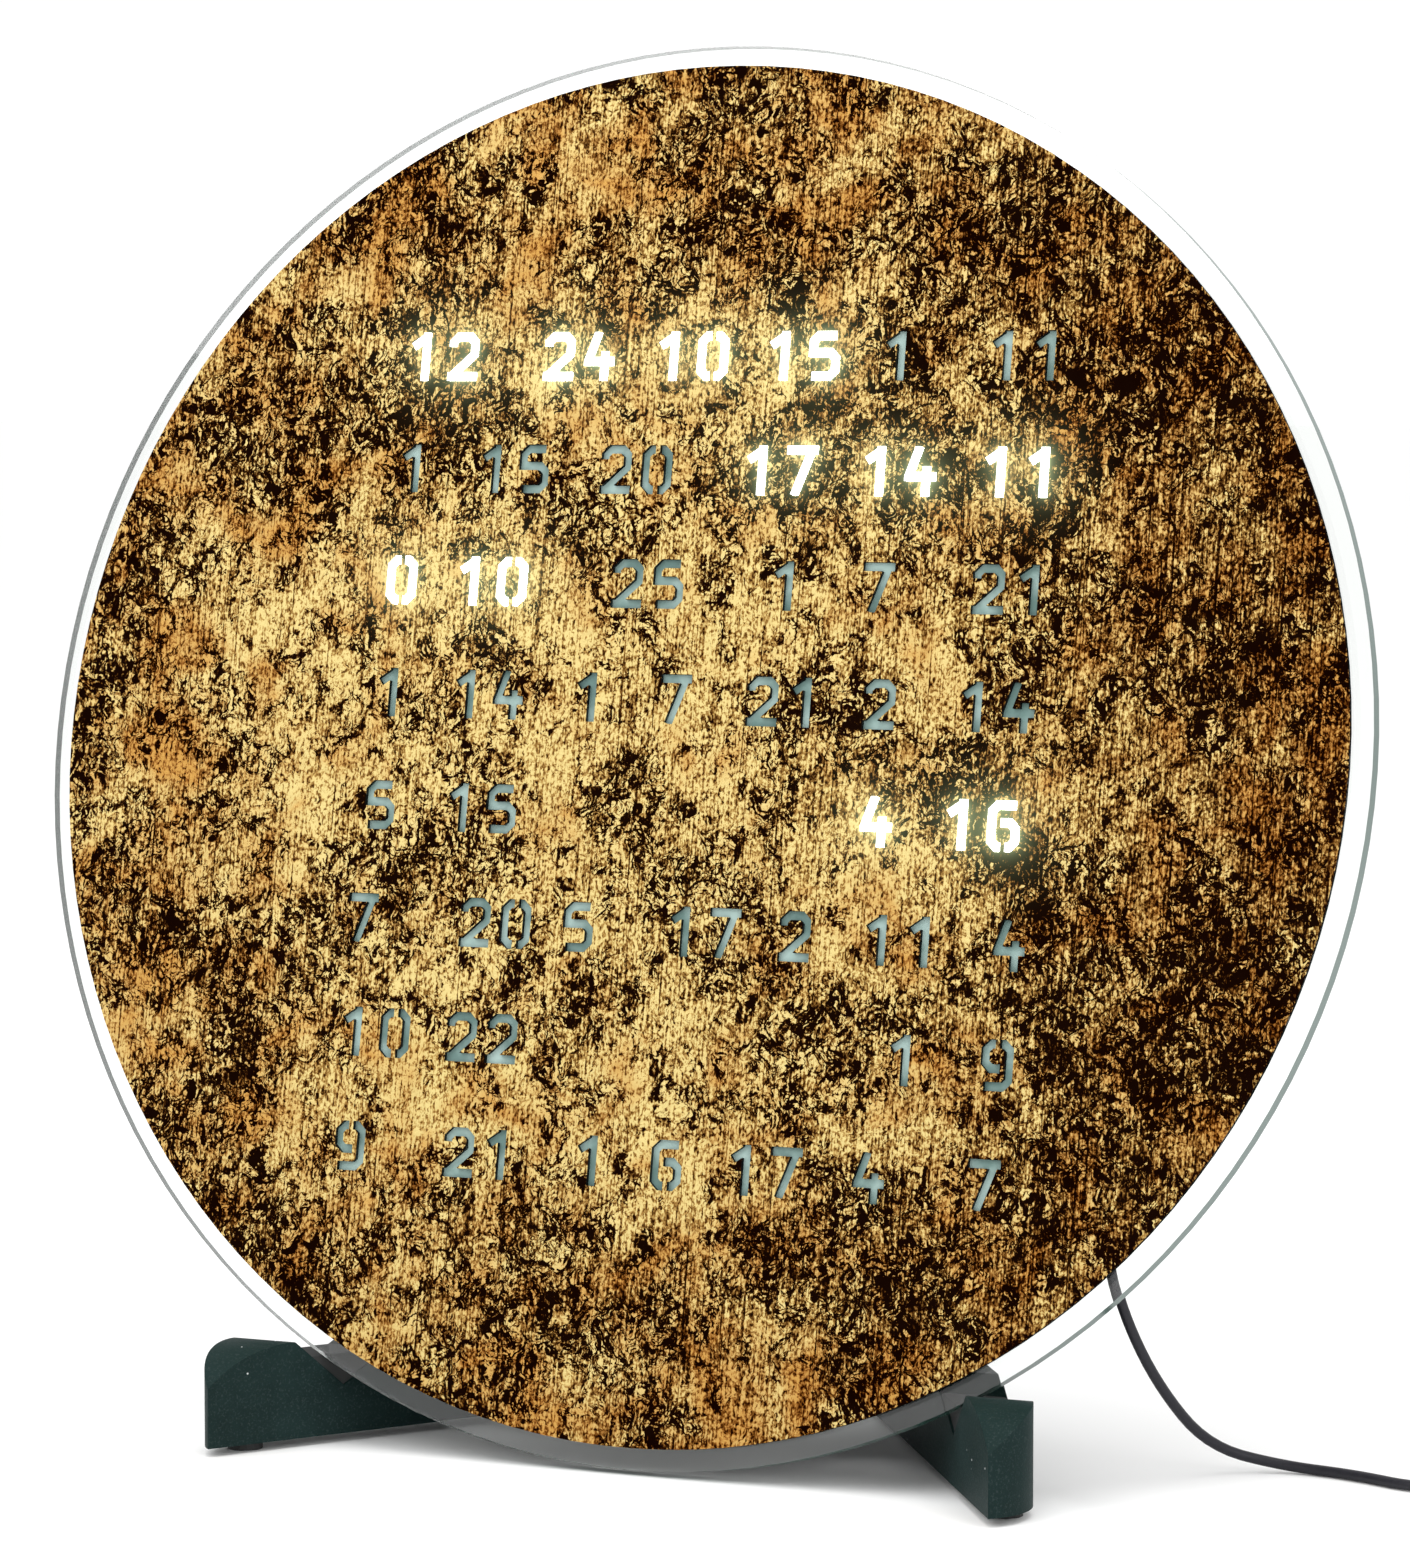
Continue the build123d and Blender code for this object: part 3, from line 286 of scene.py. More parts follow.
def patina(settings):
    """Golden bronze under a grainy brown and black patina, with crackle and fine upright lines."""
    finish = Finish("patinated_bronze")
    disc = finish.on_disc()
    across, up, _ = finish.parts(disc)
    torn = finish.warped(disc, 110, 0.007, 4)

    grain = finish.noise(1250, 1.4, 0.55, 0.4, place=finish.moved(disc, scale=(1, 0.6, 1)))
    patches = finish.noise(120, 6, 0.72, 0.3, place=torn)
    clouds = finish.noise(21, 4, 0.62, 0.5, place=finish.moved(disc, shift=(0.3, 0.7, 0.1)))
    strokes = finish.noise(1400, 3, 0.6, place=finish.moved(disc, scale=(1, 0.035, 1)))
    scratch_place = finish.moved(disc, scale=(1, 0.012, 1), shift=(0.4, 0.1, 0))
    scratches = finish.noise(900, 1, 0.5, place=scratch_place)
    stain_place = finish.moved(torn, scale=(1, 0.8, 1), shift=(0.6, 0.2, 0.9))
    stains = finish.noise(130, 8, 0.74, 0.5, place=stain_place)
    island_place = finish.moved(torn, scale=(1, 0.75, 1), shift=(0.2, 0.5, 0.3))
    islands = finish.noise(165, 3, 0.62, 0.9, place=island_place)
    creek_place = finish.moved(torn, scale=(1, 0.8, 1), shift=(0.7, 0.1, 0.6))
    creeks = finish.noise(330, 3, 0.6, 1.2, place=creek_place)

    # Paler in the middle, darker to the right and towards the rim
    squares = finish.sum("MULTIPLY_ADD", across, across, finish.sum("MULTIPLY", up, up))
    reach = finish.sum("SQRT", squares)
    rim = finish.span(reach, 0.07, 0.19)
    drift = finish.sum("MULTIPLY_ADD", across, -0.75, finish.sum("MULTIPLY_ADD", rim, -0.20, 0.07))
    drift = finish.sum("ADD", drift, finish.span(across, 0.03, 0.15, 0.0, -0.10))
    tone = finish.sum("ADD", drift, settings.tone)
    shares = ((grain, 2.3), (patches, 1.1), (clouds, 1.2), (strokes, 2.0))
    for noise, share in shares:
        tone = finish.sum("ADD", tone, finish.sum("MULTIPLY_ADD", noise, share, -share / 2))

    decay = finish.sum("MULTIPLY_ADD", clouds, -0.45, finish.sum("MULTIPLY", rim, 0.02))
    decay = finish.sum("MULTIPLY_ADD", stains, 0.6, decay)
    decay = finish.sum("MULTIPLY_ADD", patches, -0.4, decay)
    rotten = finish.span(decay, -0.112, -0.082)
    stain = finish.span(decay, -0.045, -0.02, 0.0, 0.4)
    shore = finish.sum("ABSOLUTE", finish.sum("SUBTRACT", islands, 0.5))
    creek = finish.sum("ABSOLUTE", finish.sum("SUBTRACT", creeks, 0.5))
    shore_line = finish.span(shore, 0.024, 0.060, 1.3, 0.0)
    creek_line = finish.span(creek, 0.018, 0.060, 1.0, 0.0)
    crackle = finish.sum("MAXIMUM", shore_line, creek_line)
    crackle = finish.sum("MULTIPLY", crackle, finish.span(decay, -0.150, -0.082, 0.32, 1.0))
    bright = finish.sum("MULTIPLY", finish.span(islands, 0.53, 0.56, 0.0, 0.3), rotten)
    line = finish.span(scratches, 0.645, 0.69, 0.0, 0.6)
    dark = finish.sum("MAXIMUM", stain, finish.sum("MAXIMUM", crackle, line))
    tone = finish.sum("SUBTRACT", finish.sum("ADD", tone, bright), dark)
    colour = finish.ramp(
        tone,
        (0.00, (0.005, 0.0015, 0.0006)),
        (0.25, (0.040, 0.0125, 0.002)),
        (0.52, (0.205, 0.102, 0.021)),
        (0.76, (0.41, 0.255, 0.068)),
        (1.00, (0.61, 0.485, 0.190)),
    )
    rust = finish.noise(48, 3, 0.6, 0.5, place=finish.moved(disc, shift=(0.9, 0.2, 0.4)))
    warmth = finish.span(finish.sum("MULTIPLY_ADD", rim, 0.14, rust), 0.47, 0.80, 0.0, 0.9)
    colour = finish.mix(warmth, colour, opaque(settings.rust), "MULTIPLY")

    # The cut walls are painted near-black as painted shade in the cuts, and given a painted glow
    # where the light behind them is on
    wall = finish.span(finish.along(OUTWARDS), 0.3, 0.7, 1.0, 0.0)
    lit = 0.0
    for box in lit_boxes():
        lit = finish.sum("ADD", lit, finish.in_box(across, up, box))
    # Painted shade: the cut walls get a near-black colour
    colour = finish.mix(wall, colour, (0.006, 0.009, 0.009, 1))
    # Painted light: the walls round the lit groups glow
    painted_glow = finish.sum("MULTIPLY", finish.sum("MULTIPLY", wall, lit), settings.painted_wall_glow)

    bare = finish.span(tone, 0.3, 0.9)
    face = finish.sum("SUBTRACT", 1.0, wall)
    finish.surface(
        Base_Color=colour,
        Metallic=finish.sum("MULTIPLY", finish.sum("MULTIPLY", bare, 0.4), face),
        Roughness=finish.span(bare, 0.0, 1.0, 0.8, 0.48),
        Specular_IOR_Level=finish.span(bare, 0.0, 1.0, 0.0, 0.2),
        Normal=finish.relief(patches, 1.2 * MM, 0.6),
        Emission_Color=(1.0, 1.0, 0.93, 1),
        Emission_Strength=painted_glow,
    )
    return finish.material


def lit_film(settings):
    """White light behind the numerals, a little uneven."""
    finish = Finish("lit_film")
    spread = finish.noise(60, 2, 0.5)
    finish.surface(
        Base_Color=(0.85, 0.86, 0.82, 1),
        Roughness=0.6,
        Emission_Color=finish.mix(spread, (1.0, 1.0, 0.94, 1), (0.96, 1.0, 0.95, 1)),
        Emission_Strength=settings.glow,
    )
    return finish.material


def dull_film():
    """Grey-green film of the numerals that are off."""
    finish = Finish("dull_film")
    cloud = finish.span(finish.noise(75, 3, 0.5), 0.35, 0.65)
    finish.surface(
        Base_Color=finish.mix(cloud, (0.14, 0.23, 0.21, 1), (0.38, 0.51, 0.475, 1)),
        Roughness=0.62,
        Specular_IOR_Level=0.2,
        Normal=finish.relief(finish.noise(1800, 2), 0.02 * MM, 0.4),
    )
    return finish.material


def float_glass():
    """Clear glass whose ground edge is grey-green."""
    finish = Finish("float_glass")
    edge = finish.span(finish.sum("ABSOLUTE", finish.along(OUTWARDS)), 0.35, 0.8, 1.0, 0.0)
    finish.surface(
        Base_Color=finish.mix(edge, (0.965, 0.985, 0.970, 1), (0.035, 0.085, 0.068, 1)),
        Roughness=finish.span(edge, 0.0, 1.0, 0.0, 0.22),
        Transmission_Weight=finish.span(edge, 0.0, 1.0, 1.0, 0.08),
        IOR=1.52,
    )
    return finish.material


def arm_paint(settings):
    """Blue-black paint with a fine grain and worn pale specks, and a painted top light on the faces
    that look up.
    """
    finish = Finish("arm_paint")
    grain = finish.noise(1500, 3, 0.6)
    cloud = finish.noise(60, 4, 0.6)
    # Painted top light: faces that look up are mixed towards a lighter colour
    painted_top_light = finish.span(finish.along((0, 0, 1)), 0.2, 0.95, 0.0, 0.55)
    flecks = finish.span(finish.cells(240), 0.05, 0.085, 1.0, 0.0)
    flecks = finish.sum("MULTIPLY", flecks, finish.span(finish.noise(110, 2), 0.57, 0.61))
    colour = finish.mix(cloud, opaque(settings.arm_dark), opaque(settings.arm_light))
    colour = finish.mix(painted_top_light, colour, opaque(settings.painted_top_colour))
    colour = finish.mix(finish.span(grain, 0.50, 0.75, 0.0, 0.35), colour, (0.06, 0.08, 0.08, 1))
    finish.surface(
        Base_Color=finish.mix(flecks, colour, (0.62, 0.66, 0.66, 1)),
        Roughness=finish.span(grain, 0.3, 0.7, 0.45, 0.60),
        Specular_IOR_Level=0.05,
        Normal=finish.relief(finish.sum("MULTIPLY_ADD", cloud, 0.6, grain), 0.10 * MM, 0.6),
    )
    return finish.material


def grained(name, colour, roughness=0.5, cells=1500, depth=0.03, metallic=0.0, contrast=0.25):
    """A moulded, cast or coated surface with a fine grain in its colour, gloss and relief."""
    finish = Finish(name)
    grain = finish.noise(cells, 3, 0.6)
    cloud = finish.noise(cells / 30, 3, 0.55)
    darker = [channel * (1 - contrast) for channel in colour]
    lighter = [min(channel * (1 + contrast), 1.0) for channel in colour]
    finish.surface(
        Base_Color=finish.mix(cloud, opaque(darker), opaque(lighter)),
        Roughness=finish.span(cloud, 0.3, 0.7, max(roughness - 0.06, 0.05), roughness + 0.06),
        Metallic=metallic,
        Normal=finish.relief(grain, depth * MM, 0.5),
    )
    return finish.material


def felt_cloth():
    """Pressed black felt with a soft nap."""
    finish = Finish("black_felt")
    fibres = finish.noise(2200, 4, 0.7, 1.5)
    finish.surface(
        Base_Color=finish.mix(fibres, (0.012, 0.012, 0.013, 1), (0.07, 0.07, 0.072, 1)),
        Roughness=0.95,
        Sheen_Weight=0.4,
        Normal=finish.relief(fibres, 0.2 * MM, 0.7),
    )
    return finish.material


def solder_mask():
    """Green board with paler tracks under its lacquer."""
    finish = Finish("solder_mask")
    disc = finish.on_disc()
    tracks = finish.span(finish.cells(260, "DISTANCE_TO_EDGE", disc, 0.35), 0.05, 0.07, 1.0, 0.0)
    finish.surface(
        Base_Color=finish.mix(tracks, (0.012, 0.075, 0.04, 1), (0.03, 0.16, 0.09, 1)),
        Roughness=0.3,
        Normal=finish.relief(tracks, 0.04 * MM, 0.4),
    )
    return finish.material


def lead_jacket():
    """Satin black jacket of the lead, a little uneven."""
    finish = Finish("lead_jacket")
    dust = finish.noise(900, 4, 0.6)
    finish.surface(
        Base_Color=finish.mix(dust, (0.010, 0.010, 0.013, 1), (0.026, 0.025, 0.032, 1)),
        Roughness=finish.span(dust, 0.3, 0.7, 0.36, 0.5),
        Specular_IOR_Level=0.22,
        Coat_Weight=0.03,
        Normal=finish.relief(finish.noise(320, 3), 0.05 * MM, 0.35),
    )
    return finish.material


def dress(material, *names):
    """Gives CAD nodes a material."""
    for name in names:
        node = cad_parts[name]
        node.data.materials.clear()
        node.data.materials.append(material)


def soften(width, *names):
    """Rounds the sharp edges of CAD nodes by modifiers."""
    for name in names:
        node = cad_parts[name]
        weld = node.modifiers.new("weld", "WELD")
        weld.merge_threshold = 1e-6
        bevel = node.modifiers.new("bevel", "BEVEL")
        bevel.width = width
        bevel.segments = 3
        bevel.limit_method = "ANGLE"
        bevel.angle_limit = SHARP_EDGE
        bevel.harden_normals = True
        bevel.use_clamp_overlap = True


def add_piece(name, mesh, material, body="clock"):
    """Links a bmesh as a piece that rides on a body."""
    data = bpy.data.meshes.new(name)
    mesh.to_mesh(data)
    mesh.free()
    data.materials.append(material)
    piece = bpy.data.objects.new(name, data)
    bpy.context.scene.collection.objects.link(piece)
    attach(piece, body)
    return piece


def shade_by_angle(mesh, degrees=35):
    """Smooth shading with creases where faces meet at more than this angle."""
    for face in mesh.faces:
        face.smooth = True
    for edge in mesh.edges:
        edge.smooth = len(edge.link_faces) == 2 and edge.calc_face_angle() < math.radians(degrees)


def turned_piece(mesh, outline, matrix, steps=32):
    """Spins an outline of radii and heights, in millimetres, about Z and puts it in place."""
    others = set(mesh.verts)
    verts = [mesh.verts.new((radius * MM, 0, height * MM)) for radius, height in outline]
    edges = [mesh.edges.new(pair) for pair in zip(verts, verts[1:])]
    bmesh.ops.spin(
        mesh,
        geom=verts + edges,
        cent=(0, 0, 0),
        axis=(0, 0, 1),
        angle=2 * math.pi,
        steps=steps,
        use_merge=True,
    )
    spun = [vert for vert in mesh.verts if vert not in others]
    bmesh.ops.remove_doubles(mesh, verts=spun, dist=SAME_PLACE)
    made = [vert for vert in mesh.verts if vert not in others]
    # A dict drops repeats and keeps the mesh's order, so each run gives the same faces
    faces = dict.fromkeys(face for vert in made for face in vert.link_faces)
    bmesh.ops.recalc_face_normals(mesh, faces=list(faces))
    bmesh.ops.transform(mesh, matrix=matrix, verts=made)


def axis_matrix(origin, axis):
    """Matrix of a place whose Z is this axis."""
    matrix = axis.to_track_quat("Z", "Y").to_matrix().to_4x4()
    matrix.translation = origin
    return matrix


def solid_vertices(name):
    """Vertices of each separate solid of a CAD node."""
    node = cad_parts[name]
    mesh = bmesh.new()
    mesh.from_mesh(node.data)
    mesh.transform(node.matrix_world)
    bmesh.ops.remove_doubles(mesh, verts=mesh.verts, dist=SAME_PLACE)
    seen = set()
    solids = []
    for start in mesh.verts:
        if start in seen:
            continue
        seen.add(start)
        reached = [start]
        for vert in reached:  # grows while it is walked
            for edge in vert.link_edges:
                other = edge.other_vert(vert)
                if other not in seen:
                    seen.add(other)
                    reached.append(other)
        solids.append([vert.co.copy() for vert in reached])
    mesh.free()
    return solids


def measure_turned(points, axis):
    """Middle of a turned solid's top, its length, and its widest radius, seen along the axis."""
    heights = [point.dot(axis) for point in points]
    middle = sum(points, Vector()) / len(points)
    across = [point - axis * point.dot(axis) for point in points]
    centre = middle - axis * middle.dot(axis)
    widest = max((point - centre).length for point in across)
    return centre + axis * max(heights), max(heights) - min(heights), widest


def screw_outline(head, head_height, shank, length, socket, sunk):
    """Outline of a screw from the bottom of its socket over the head to the tip, in millimetres."""
    deep = -0.55 * head_height
    start = [(0, deep - 0.3), (socket * head, deep), (socket * head, -0.12)]
    start.append((socket * head + 0.15, 0))
    if sunk:
        top = [(head - 0.15, 0), (head, -0.3), (shank, -head_height)]
    else:
        top = [(0.72 * head, 0), (0.93 * head, -0.22 * head_height), (head, -0.55 * head_height)]
        top += [(head, -head_height), (shank, -head_height)]
    return start + top + [(shank, 1.0 - length), (0.55 * shank, -length), (0, -length)]


def boot_outline(wide, narrow, length, ribs=6):
    """Outline of a ribbed strain relief from its wide end to the lead, in millimetres."""
    outline = [(0, 0), (wide - 0.3, 0), (wide, -0.3), (wide, -1.2)]
    pitch = (length - 2.2) / ribs
    for rib in range(ribs):
        start = 1.2 + rib * pitch
        radius = wide - (wide - narrow) * (rib + 1) / ribs
        waist = max(radius - 0.55, narrow - 0.35)
        outline += [(waist, -start - 0.12 * pitch), (waist, -start - 0.42 * pitch)]
        outline += [(radius, -start - 0.54 * pitch), (radius, -start - pitch)]
    return outline + [(narrow, -length + 0.2), (narrow - 0.2, -length), (0, -length)]


def plug_outline(radius, length):
    """Outline of a round plug's grip with four shallow rings, in millimetres."""
    outline = [(0, 0), (radius - 0.6, 0), (radius - 0.15, -0.2), (radius, -0.7)]
    for ring in range(4):
        start = 0.35 * length + 2.0 * ring
        outline += [(radius, -start), (radius - 0.35, -start - 0.3)]
        outline += [(radius - 0.35, -start - 0.8), (radius, -start - 1.1)]
    outline += [(radius, 1.2 - length), (radius - 0.4, 0.3 - length)]
    return outline + [(radius - 1.0, -length), (0, -length)]


def button_outline(length):
    """Outline of a button from its dished cap over its collar to its stem's end, in millimetres."""
    dish = [(0, -0.35), (1.6, -0.3), (2.7, -0.12), (3.3, 0)]
    edge = [(3.75, -0.1), (3.98, -0.45), (3.98, -4.1)]
    collar = [(5.4, -4.1), (5.4, -5.3), (1.7, -5.3)]
    return dish + edge + collar + [(1.7, 0.3 - length), (1.4, -length), (0, -length)]


class ClockFinishes(bpy.types.PropertyGroup):
    """Colours and light of the clock."""

    tone: FloatProperty(name="Patina tone", description="Higher for barer bronze", default=0.91)
    rust: FloatVectorProperty(
        name="Rust",
        description="Tint of the warm clouds",
        subtype="COLOR",
        default=(0.74, 0.46, 0.20),
    )
    glow: FloatProperty(
        name="Light",
        description="Strength of the lit numerals",
        min=0.0,
        default=14.0,
    )
    # Strength of the painted glow on the cut walls round the lit numerals
    painted_wall_glow: FloatProperty(
        name="Lit walls",
        description="Strength of the walls round them",
        min=0.0,
        default=3.0,
    )
    arm_dark: FloatVectorProperty(
        name="Dark arm",
        description="Darker colour of the arms",
        subtype="COLOR",
        default=(0.004, 0.010, 0.009),
    )
    arm_light: FloatVectorProperty(
        name="Light arm",
        description="Lighter colour of the arms",
        subtype="COLOR",
        default=(0.014, 0.031, 0.030),
    )
    # Lighter colour painted on faces that look up, as painted top light
    painted_top_colour: FloatVectorProperty(
        name="Arm tops",
        description="Colour of the arms where they face up",
        subtype="COLOR",
        default=(0.010, 0.024, 0.022),
    )


class ClockSizes(bpy.types.PropertyGroup):
    """Sizes that the frame doesn't give."""

    lead_diameter: FloatProperty(
        name="Lead",
        description="Thickness of the lead",
        subtype="DISTANCE",
        unit="LENGTH",
        default=3.0 * MM,
    )
    lead_length: FloatProperty(
        name="Lead length",
        description="Length of the lead",
        subtype="DISTANCE",
        unit="LENGTH",
        default=1.0,
    )
    edge_round: FloatProperty(
        name="Arm edges",
        description="Rounding of the arms' edges",
        subtype="DISTANCE",
        unit="LENGTH",
        default=1.0 * MM,
    )
    screw_socket: FloatProperty(
        name="Sockets",
        description="Screw socket's share of its head",
        min=0.2,
        max=0.8,
        default=0.42,
    )
    camera_lens: FloatProperty(
        name="Lens",
        description="Focal length of the camera",
        subtype="DISTANCE_CAMERA",
        unit="CAMERA",
        default=125.8,
    )


class CLOCK_OT_camera(bpy.types.Operator):
    """Camera at the height and angle of the photograph"""

    bl_idname = "clock.camera"
    bl_label = "Camera"

    def execute(self, context):
        data = bpy.data.cameras.new("clock_camera")
        data.lens = context.scene.clock_sizes.camera_lens
        camera = bpy.data.objects.new("clock_camera", data)
        camera.location = Vector(CAMERA_PLACE) * MM
        camera.rotation_euler = [math.radians(angle) for angle in CAMERA_TURN]
        context.scene.collection.objects.link(camera)
        context.scene.camera = camera
        return {"FINISHED"}


def coil_route():
    """A spiral of long turns inwards on the table side, a climb, and a spiral outwards on top."""
    swell = 1 / (0.75 + 0.25 * math.cos(math.pi / STEPS_PER_HALF_TURN))
    out = COIL_MIDDLE_DIAMETER / 2 + COIL_HALF_TURNS * COIL_PITCH / 4
    radius, height, side = out, 0.0, 1
    points = []
    for turn in range(2 * COIL_HALF_TURNS + 2):
        climb = COIL_PITCH if turn == COIL_HALF_TURNS else 0.0
        middle = out - side * radius
        for step in range(STEPS_PER_HALF_TURN + 1):
            angle = math.pi * step / STEPS_PER_HALF_TURN
            reach = radius * swell if 0 < step < STEPS_PER_HALF_TURN else radius
            points.append(
                (
                    COIL_CENTRE[0] + side * (COIL_STRAIGHT / 2 + reach * math.sin(angle)),
                    COIL_CENTRE[1] - middle - side * reach * math.cos(angle),
                    COIL_CENTRE[2] + height + climb * step / STEPS_PER_HALF_TURN,
                )
            )
        out -= 2 * side * radius
        height += climb
        radius += -COIL_PITCH / 2 if turn < COIL_HALF_TURNS else COIL_PITCH / 2
        side = -side
    end = (COIL_CENTRE[0] + COIL_STRAIGHT / 2, COIL_CENTRE[1] - out, COIL_CENTRE[2] + height)
    return points, end


class CLOCK_OT_lead(bpy.types.Operator):
    """Power lead: one smooth curve from the plug's boot to the coil and its far plug"""

    bl_idname = "clock.lead"
    bl_label = "Lead"

    def execute(self, context):
        sizes = context.scene.clock_sizes
        turns, end = coil_route()
        tail = [tuple(Vector(end) + Vector(step)) for step in TAIL_ROUTE]
        route = millimetres(LEAD_ROUTE + turns + [end] + tail)
        curve = bpy.data.curves.new("power_lead", "CURVE")
        curve.dimensions = "3D"
        curve.bevel_depth = sizes.lead_diameter / 2
        curve.bevel_resolution = 4
        curve.resolution_u = 6
        curve.use_fill_caps = True
        spline = curve.splines.new("NURBS")
        spline.points.add(len(route) - 1)
        for point, place in zip(spline.points, route):
            point.co = (*place, 1.0)
        spline.order_u = 3
        spline.use_endpoint_u = True
        curve.materials.append(lead_jacket())
        lead = bpy.data.objects.new("power_lead", curve)
        context.scene.collection.objects.link(lead)
        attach(lead, "clock")
        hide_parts("cord_lead", "cord_coil", "cord_tail")
        moulding = grained("plug_moulding", (0.016, 0.016, 0.018), 0.42, 1700, 0.04)
        dress(moulding, "usb_body")
        nickel = grained("bright_nickel", (0.74, 0.73, 0.70), 0.2, 700, 0.01, 1.0, 0.05)
        dress(nickel, "plug_barrel", "usb_shell")
        dress(grained("white_tongue", (0.78, 0.78, 0.76), 0.45, 900, 0.02, 0.0, 0.06), "usb_tongue")
        dress(grained("tie_rubber", (0.02, 0.02, 0.021), 0.7, 1200, 0.06), "cord_tie")
        soften(0.5 * MM, "usb_body")
        soften(0.15 * MM, "usb_shell")
        plain = ("plug_barrel", "cord_tie", "usb_body", "usb_shell", "usb_tongue")
        on_lead = [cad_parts[name] for name in plain]
        turned = (("plug_body", UPWARDS), ("plug_boot", UPWARDS), ("usb_boot", Vector((0, 1, 0))))
        for name, axis in turned:
            mesh = bmesh.new()
            top, long, widest = measure_turned(solid_vertices(name)[0], axis)
            if name == "plug_body":
                outline = plug_outline(widest / MM, long / MM)
            else:
                narrow = sizes.lead_diameter / 2 / MM + BOOT_WALL
                outline = boot_outline(widest / MM, narrow, long / MM)
            turned_piece(mesh, outline, axis_matrix(top, axis), 40)
            shade_by_angle(mesh)
            piece = add_piece(name + "_turned", mesh, moulding)
            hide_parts(name)
            on_lead.append(piece)
        return {"FINISHED"}


class CLOCK_OT_panel(bpy.types.Operator):
    """Patinated bronze panel, the film behind it, and light in the groups that are on"""

    bl_idname = "clock.panel"
    bl_label = "Panel and light"

    def execute(self, context):
        finishes = context.scene.clock_finishes
        dress(patina(finishes), "front_panel")
        dress(dull_film(), "diffuser_sheet")
        fields = bmesh.new()
        for u, v, half_u, half_v in lit_boxes():
            made = bmesh.ops.create_cube(fields, size=1.0)
            size = (2 * half_u, 2 * half_v, FIELD_THICKNESS)
            bmesh.ops.scale(fields, vec=size, verts=made["verts"])
            matrix = disc_matrix(u, v, PANEL_THICKNESS)
            bmesh.ops.transform(fields, matrix=matrix, verts=made["verts"])
        corners = [edge for edge in fields.edges if edge.calc_length() < 2 * FIELD_THICKNESS]
        bmesh.ops.bevel(
            fields,
            geom=corners,
            offset=1.5 * MM,
            segments=4,
            profile=0.5,
            affect="EDGES",
            material=-1,
        )
        light = add_piece("lit_fields", fields, lit_film(finishes))
        return {"FINISHED"}


class CLOCK_OT_glass(bpy.types.Operator):
    """Clear glass disc with its green ground edge"""

    bl_idname = "clock.glass"
    bl_label = "Glass"

    def execute(self, context):
        dress(float_glass(), "glass_disc")
        return {"FINISHED"}


class CLOCK_OT_stand(bpy.types.Operator):
    """Painted arms with softened edges, rubber saddles and pads, bent plate and felt"""

    bl_idname = "clock.stand"
    bl_label = "Stand"

    def execute(self, context):
        dress(arm_paint(context.scene.clock_finishes), "arm_left", "arm_right")
        soften(context.scene.clock_sizes.edge_round, "arm_left", "arm_right")
        rubber = grained("black_rubber", (0.022, 0.023, 0.023), 0.75, 1300, 0.06)
        dress(rubber, "saddle_left", "saddle_right", "foot_pads")
        coat = grained("powder_coat", (0.026, 0.032, 0.029), 0.5, 1900, 0.12, 0.0, 0.2)
        dress(coat, "stand_plate")
        dress(felt_cloth(), "rest_pad")
        return {"FINISHED"}


class CLOCK_OT_housing(bpy.types.Operator):
    """Housing, cover, buttons and tape behind the glass"""

    bl_idname = "clock.housing"
    bl_label = "Housing"

    def execute(self, context):
        moulding = grained("housing_moulding", (0.020, 0.020, 0.022), 0.55, 1500, 0.10)
        dress(moulding, "rear_housing", "rear_cover")
        dress(grained("foam_tape", (0.012, 0.012, 0.012), 0.9, 2400, 0.15), "bond_ring")
        button_plastic = grained("button_moulding", (0.20, 0.21, 0.22), 0.4, 1500, 0.03)
        for name in ("button_hour", "button_minute", "button_dim"):
            mesh = bmesh.new()
            top, length, _ = measure_turned(solid_vertices(name)[0], -OUTWARDS)
            turned_piece(mesh, button_outline(length / MM), axis_matrix(top, -OUTWARDS), 40)
            shade_by_angle(mesh)
            button = add_piece(name + "_turned", mesh, button_plastic, name)
            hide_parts(name)
        return {"FINISHED"}


class CLOCK_OT_boards(bpy.types.Operator):
    """Boards, lights and the other pieces inside the housing"""

    bl_idname = "clock.boards"
    bl_label = "Boards"

    def execute(self, context):
        dress(solder_mask(), "led_board")
        baffle = grained("white_moulding", (0.72, 0.73, 0.70), 0.5, 900, 0.04, 0.0, 0.06)
        dress(baffle, "light_baffle")
        dress(grained("light_bodies", (0.80, 0.79, 0.66), 0.35, 900, 0.02, 0.0, 0.08), "leds")
        epoxy = grained("black_epoxy", (0.014, 0.014, 0.015), 0.45, 2200, 0.05)
        dress(epoxy, "driver_chips", "coin_cell_holder", "tact_switches", "dc_jack")
        can = grained("bare_can", (0.62, 0.63, 0.65), 0.28, 1200, 0.02, 1.0, 0.08)
        dress(can, "capacitors", "coin_cell")
        return {"FINISHED"}


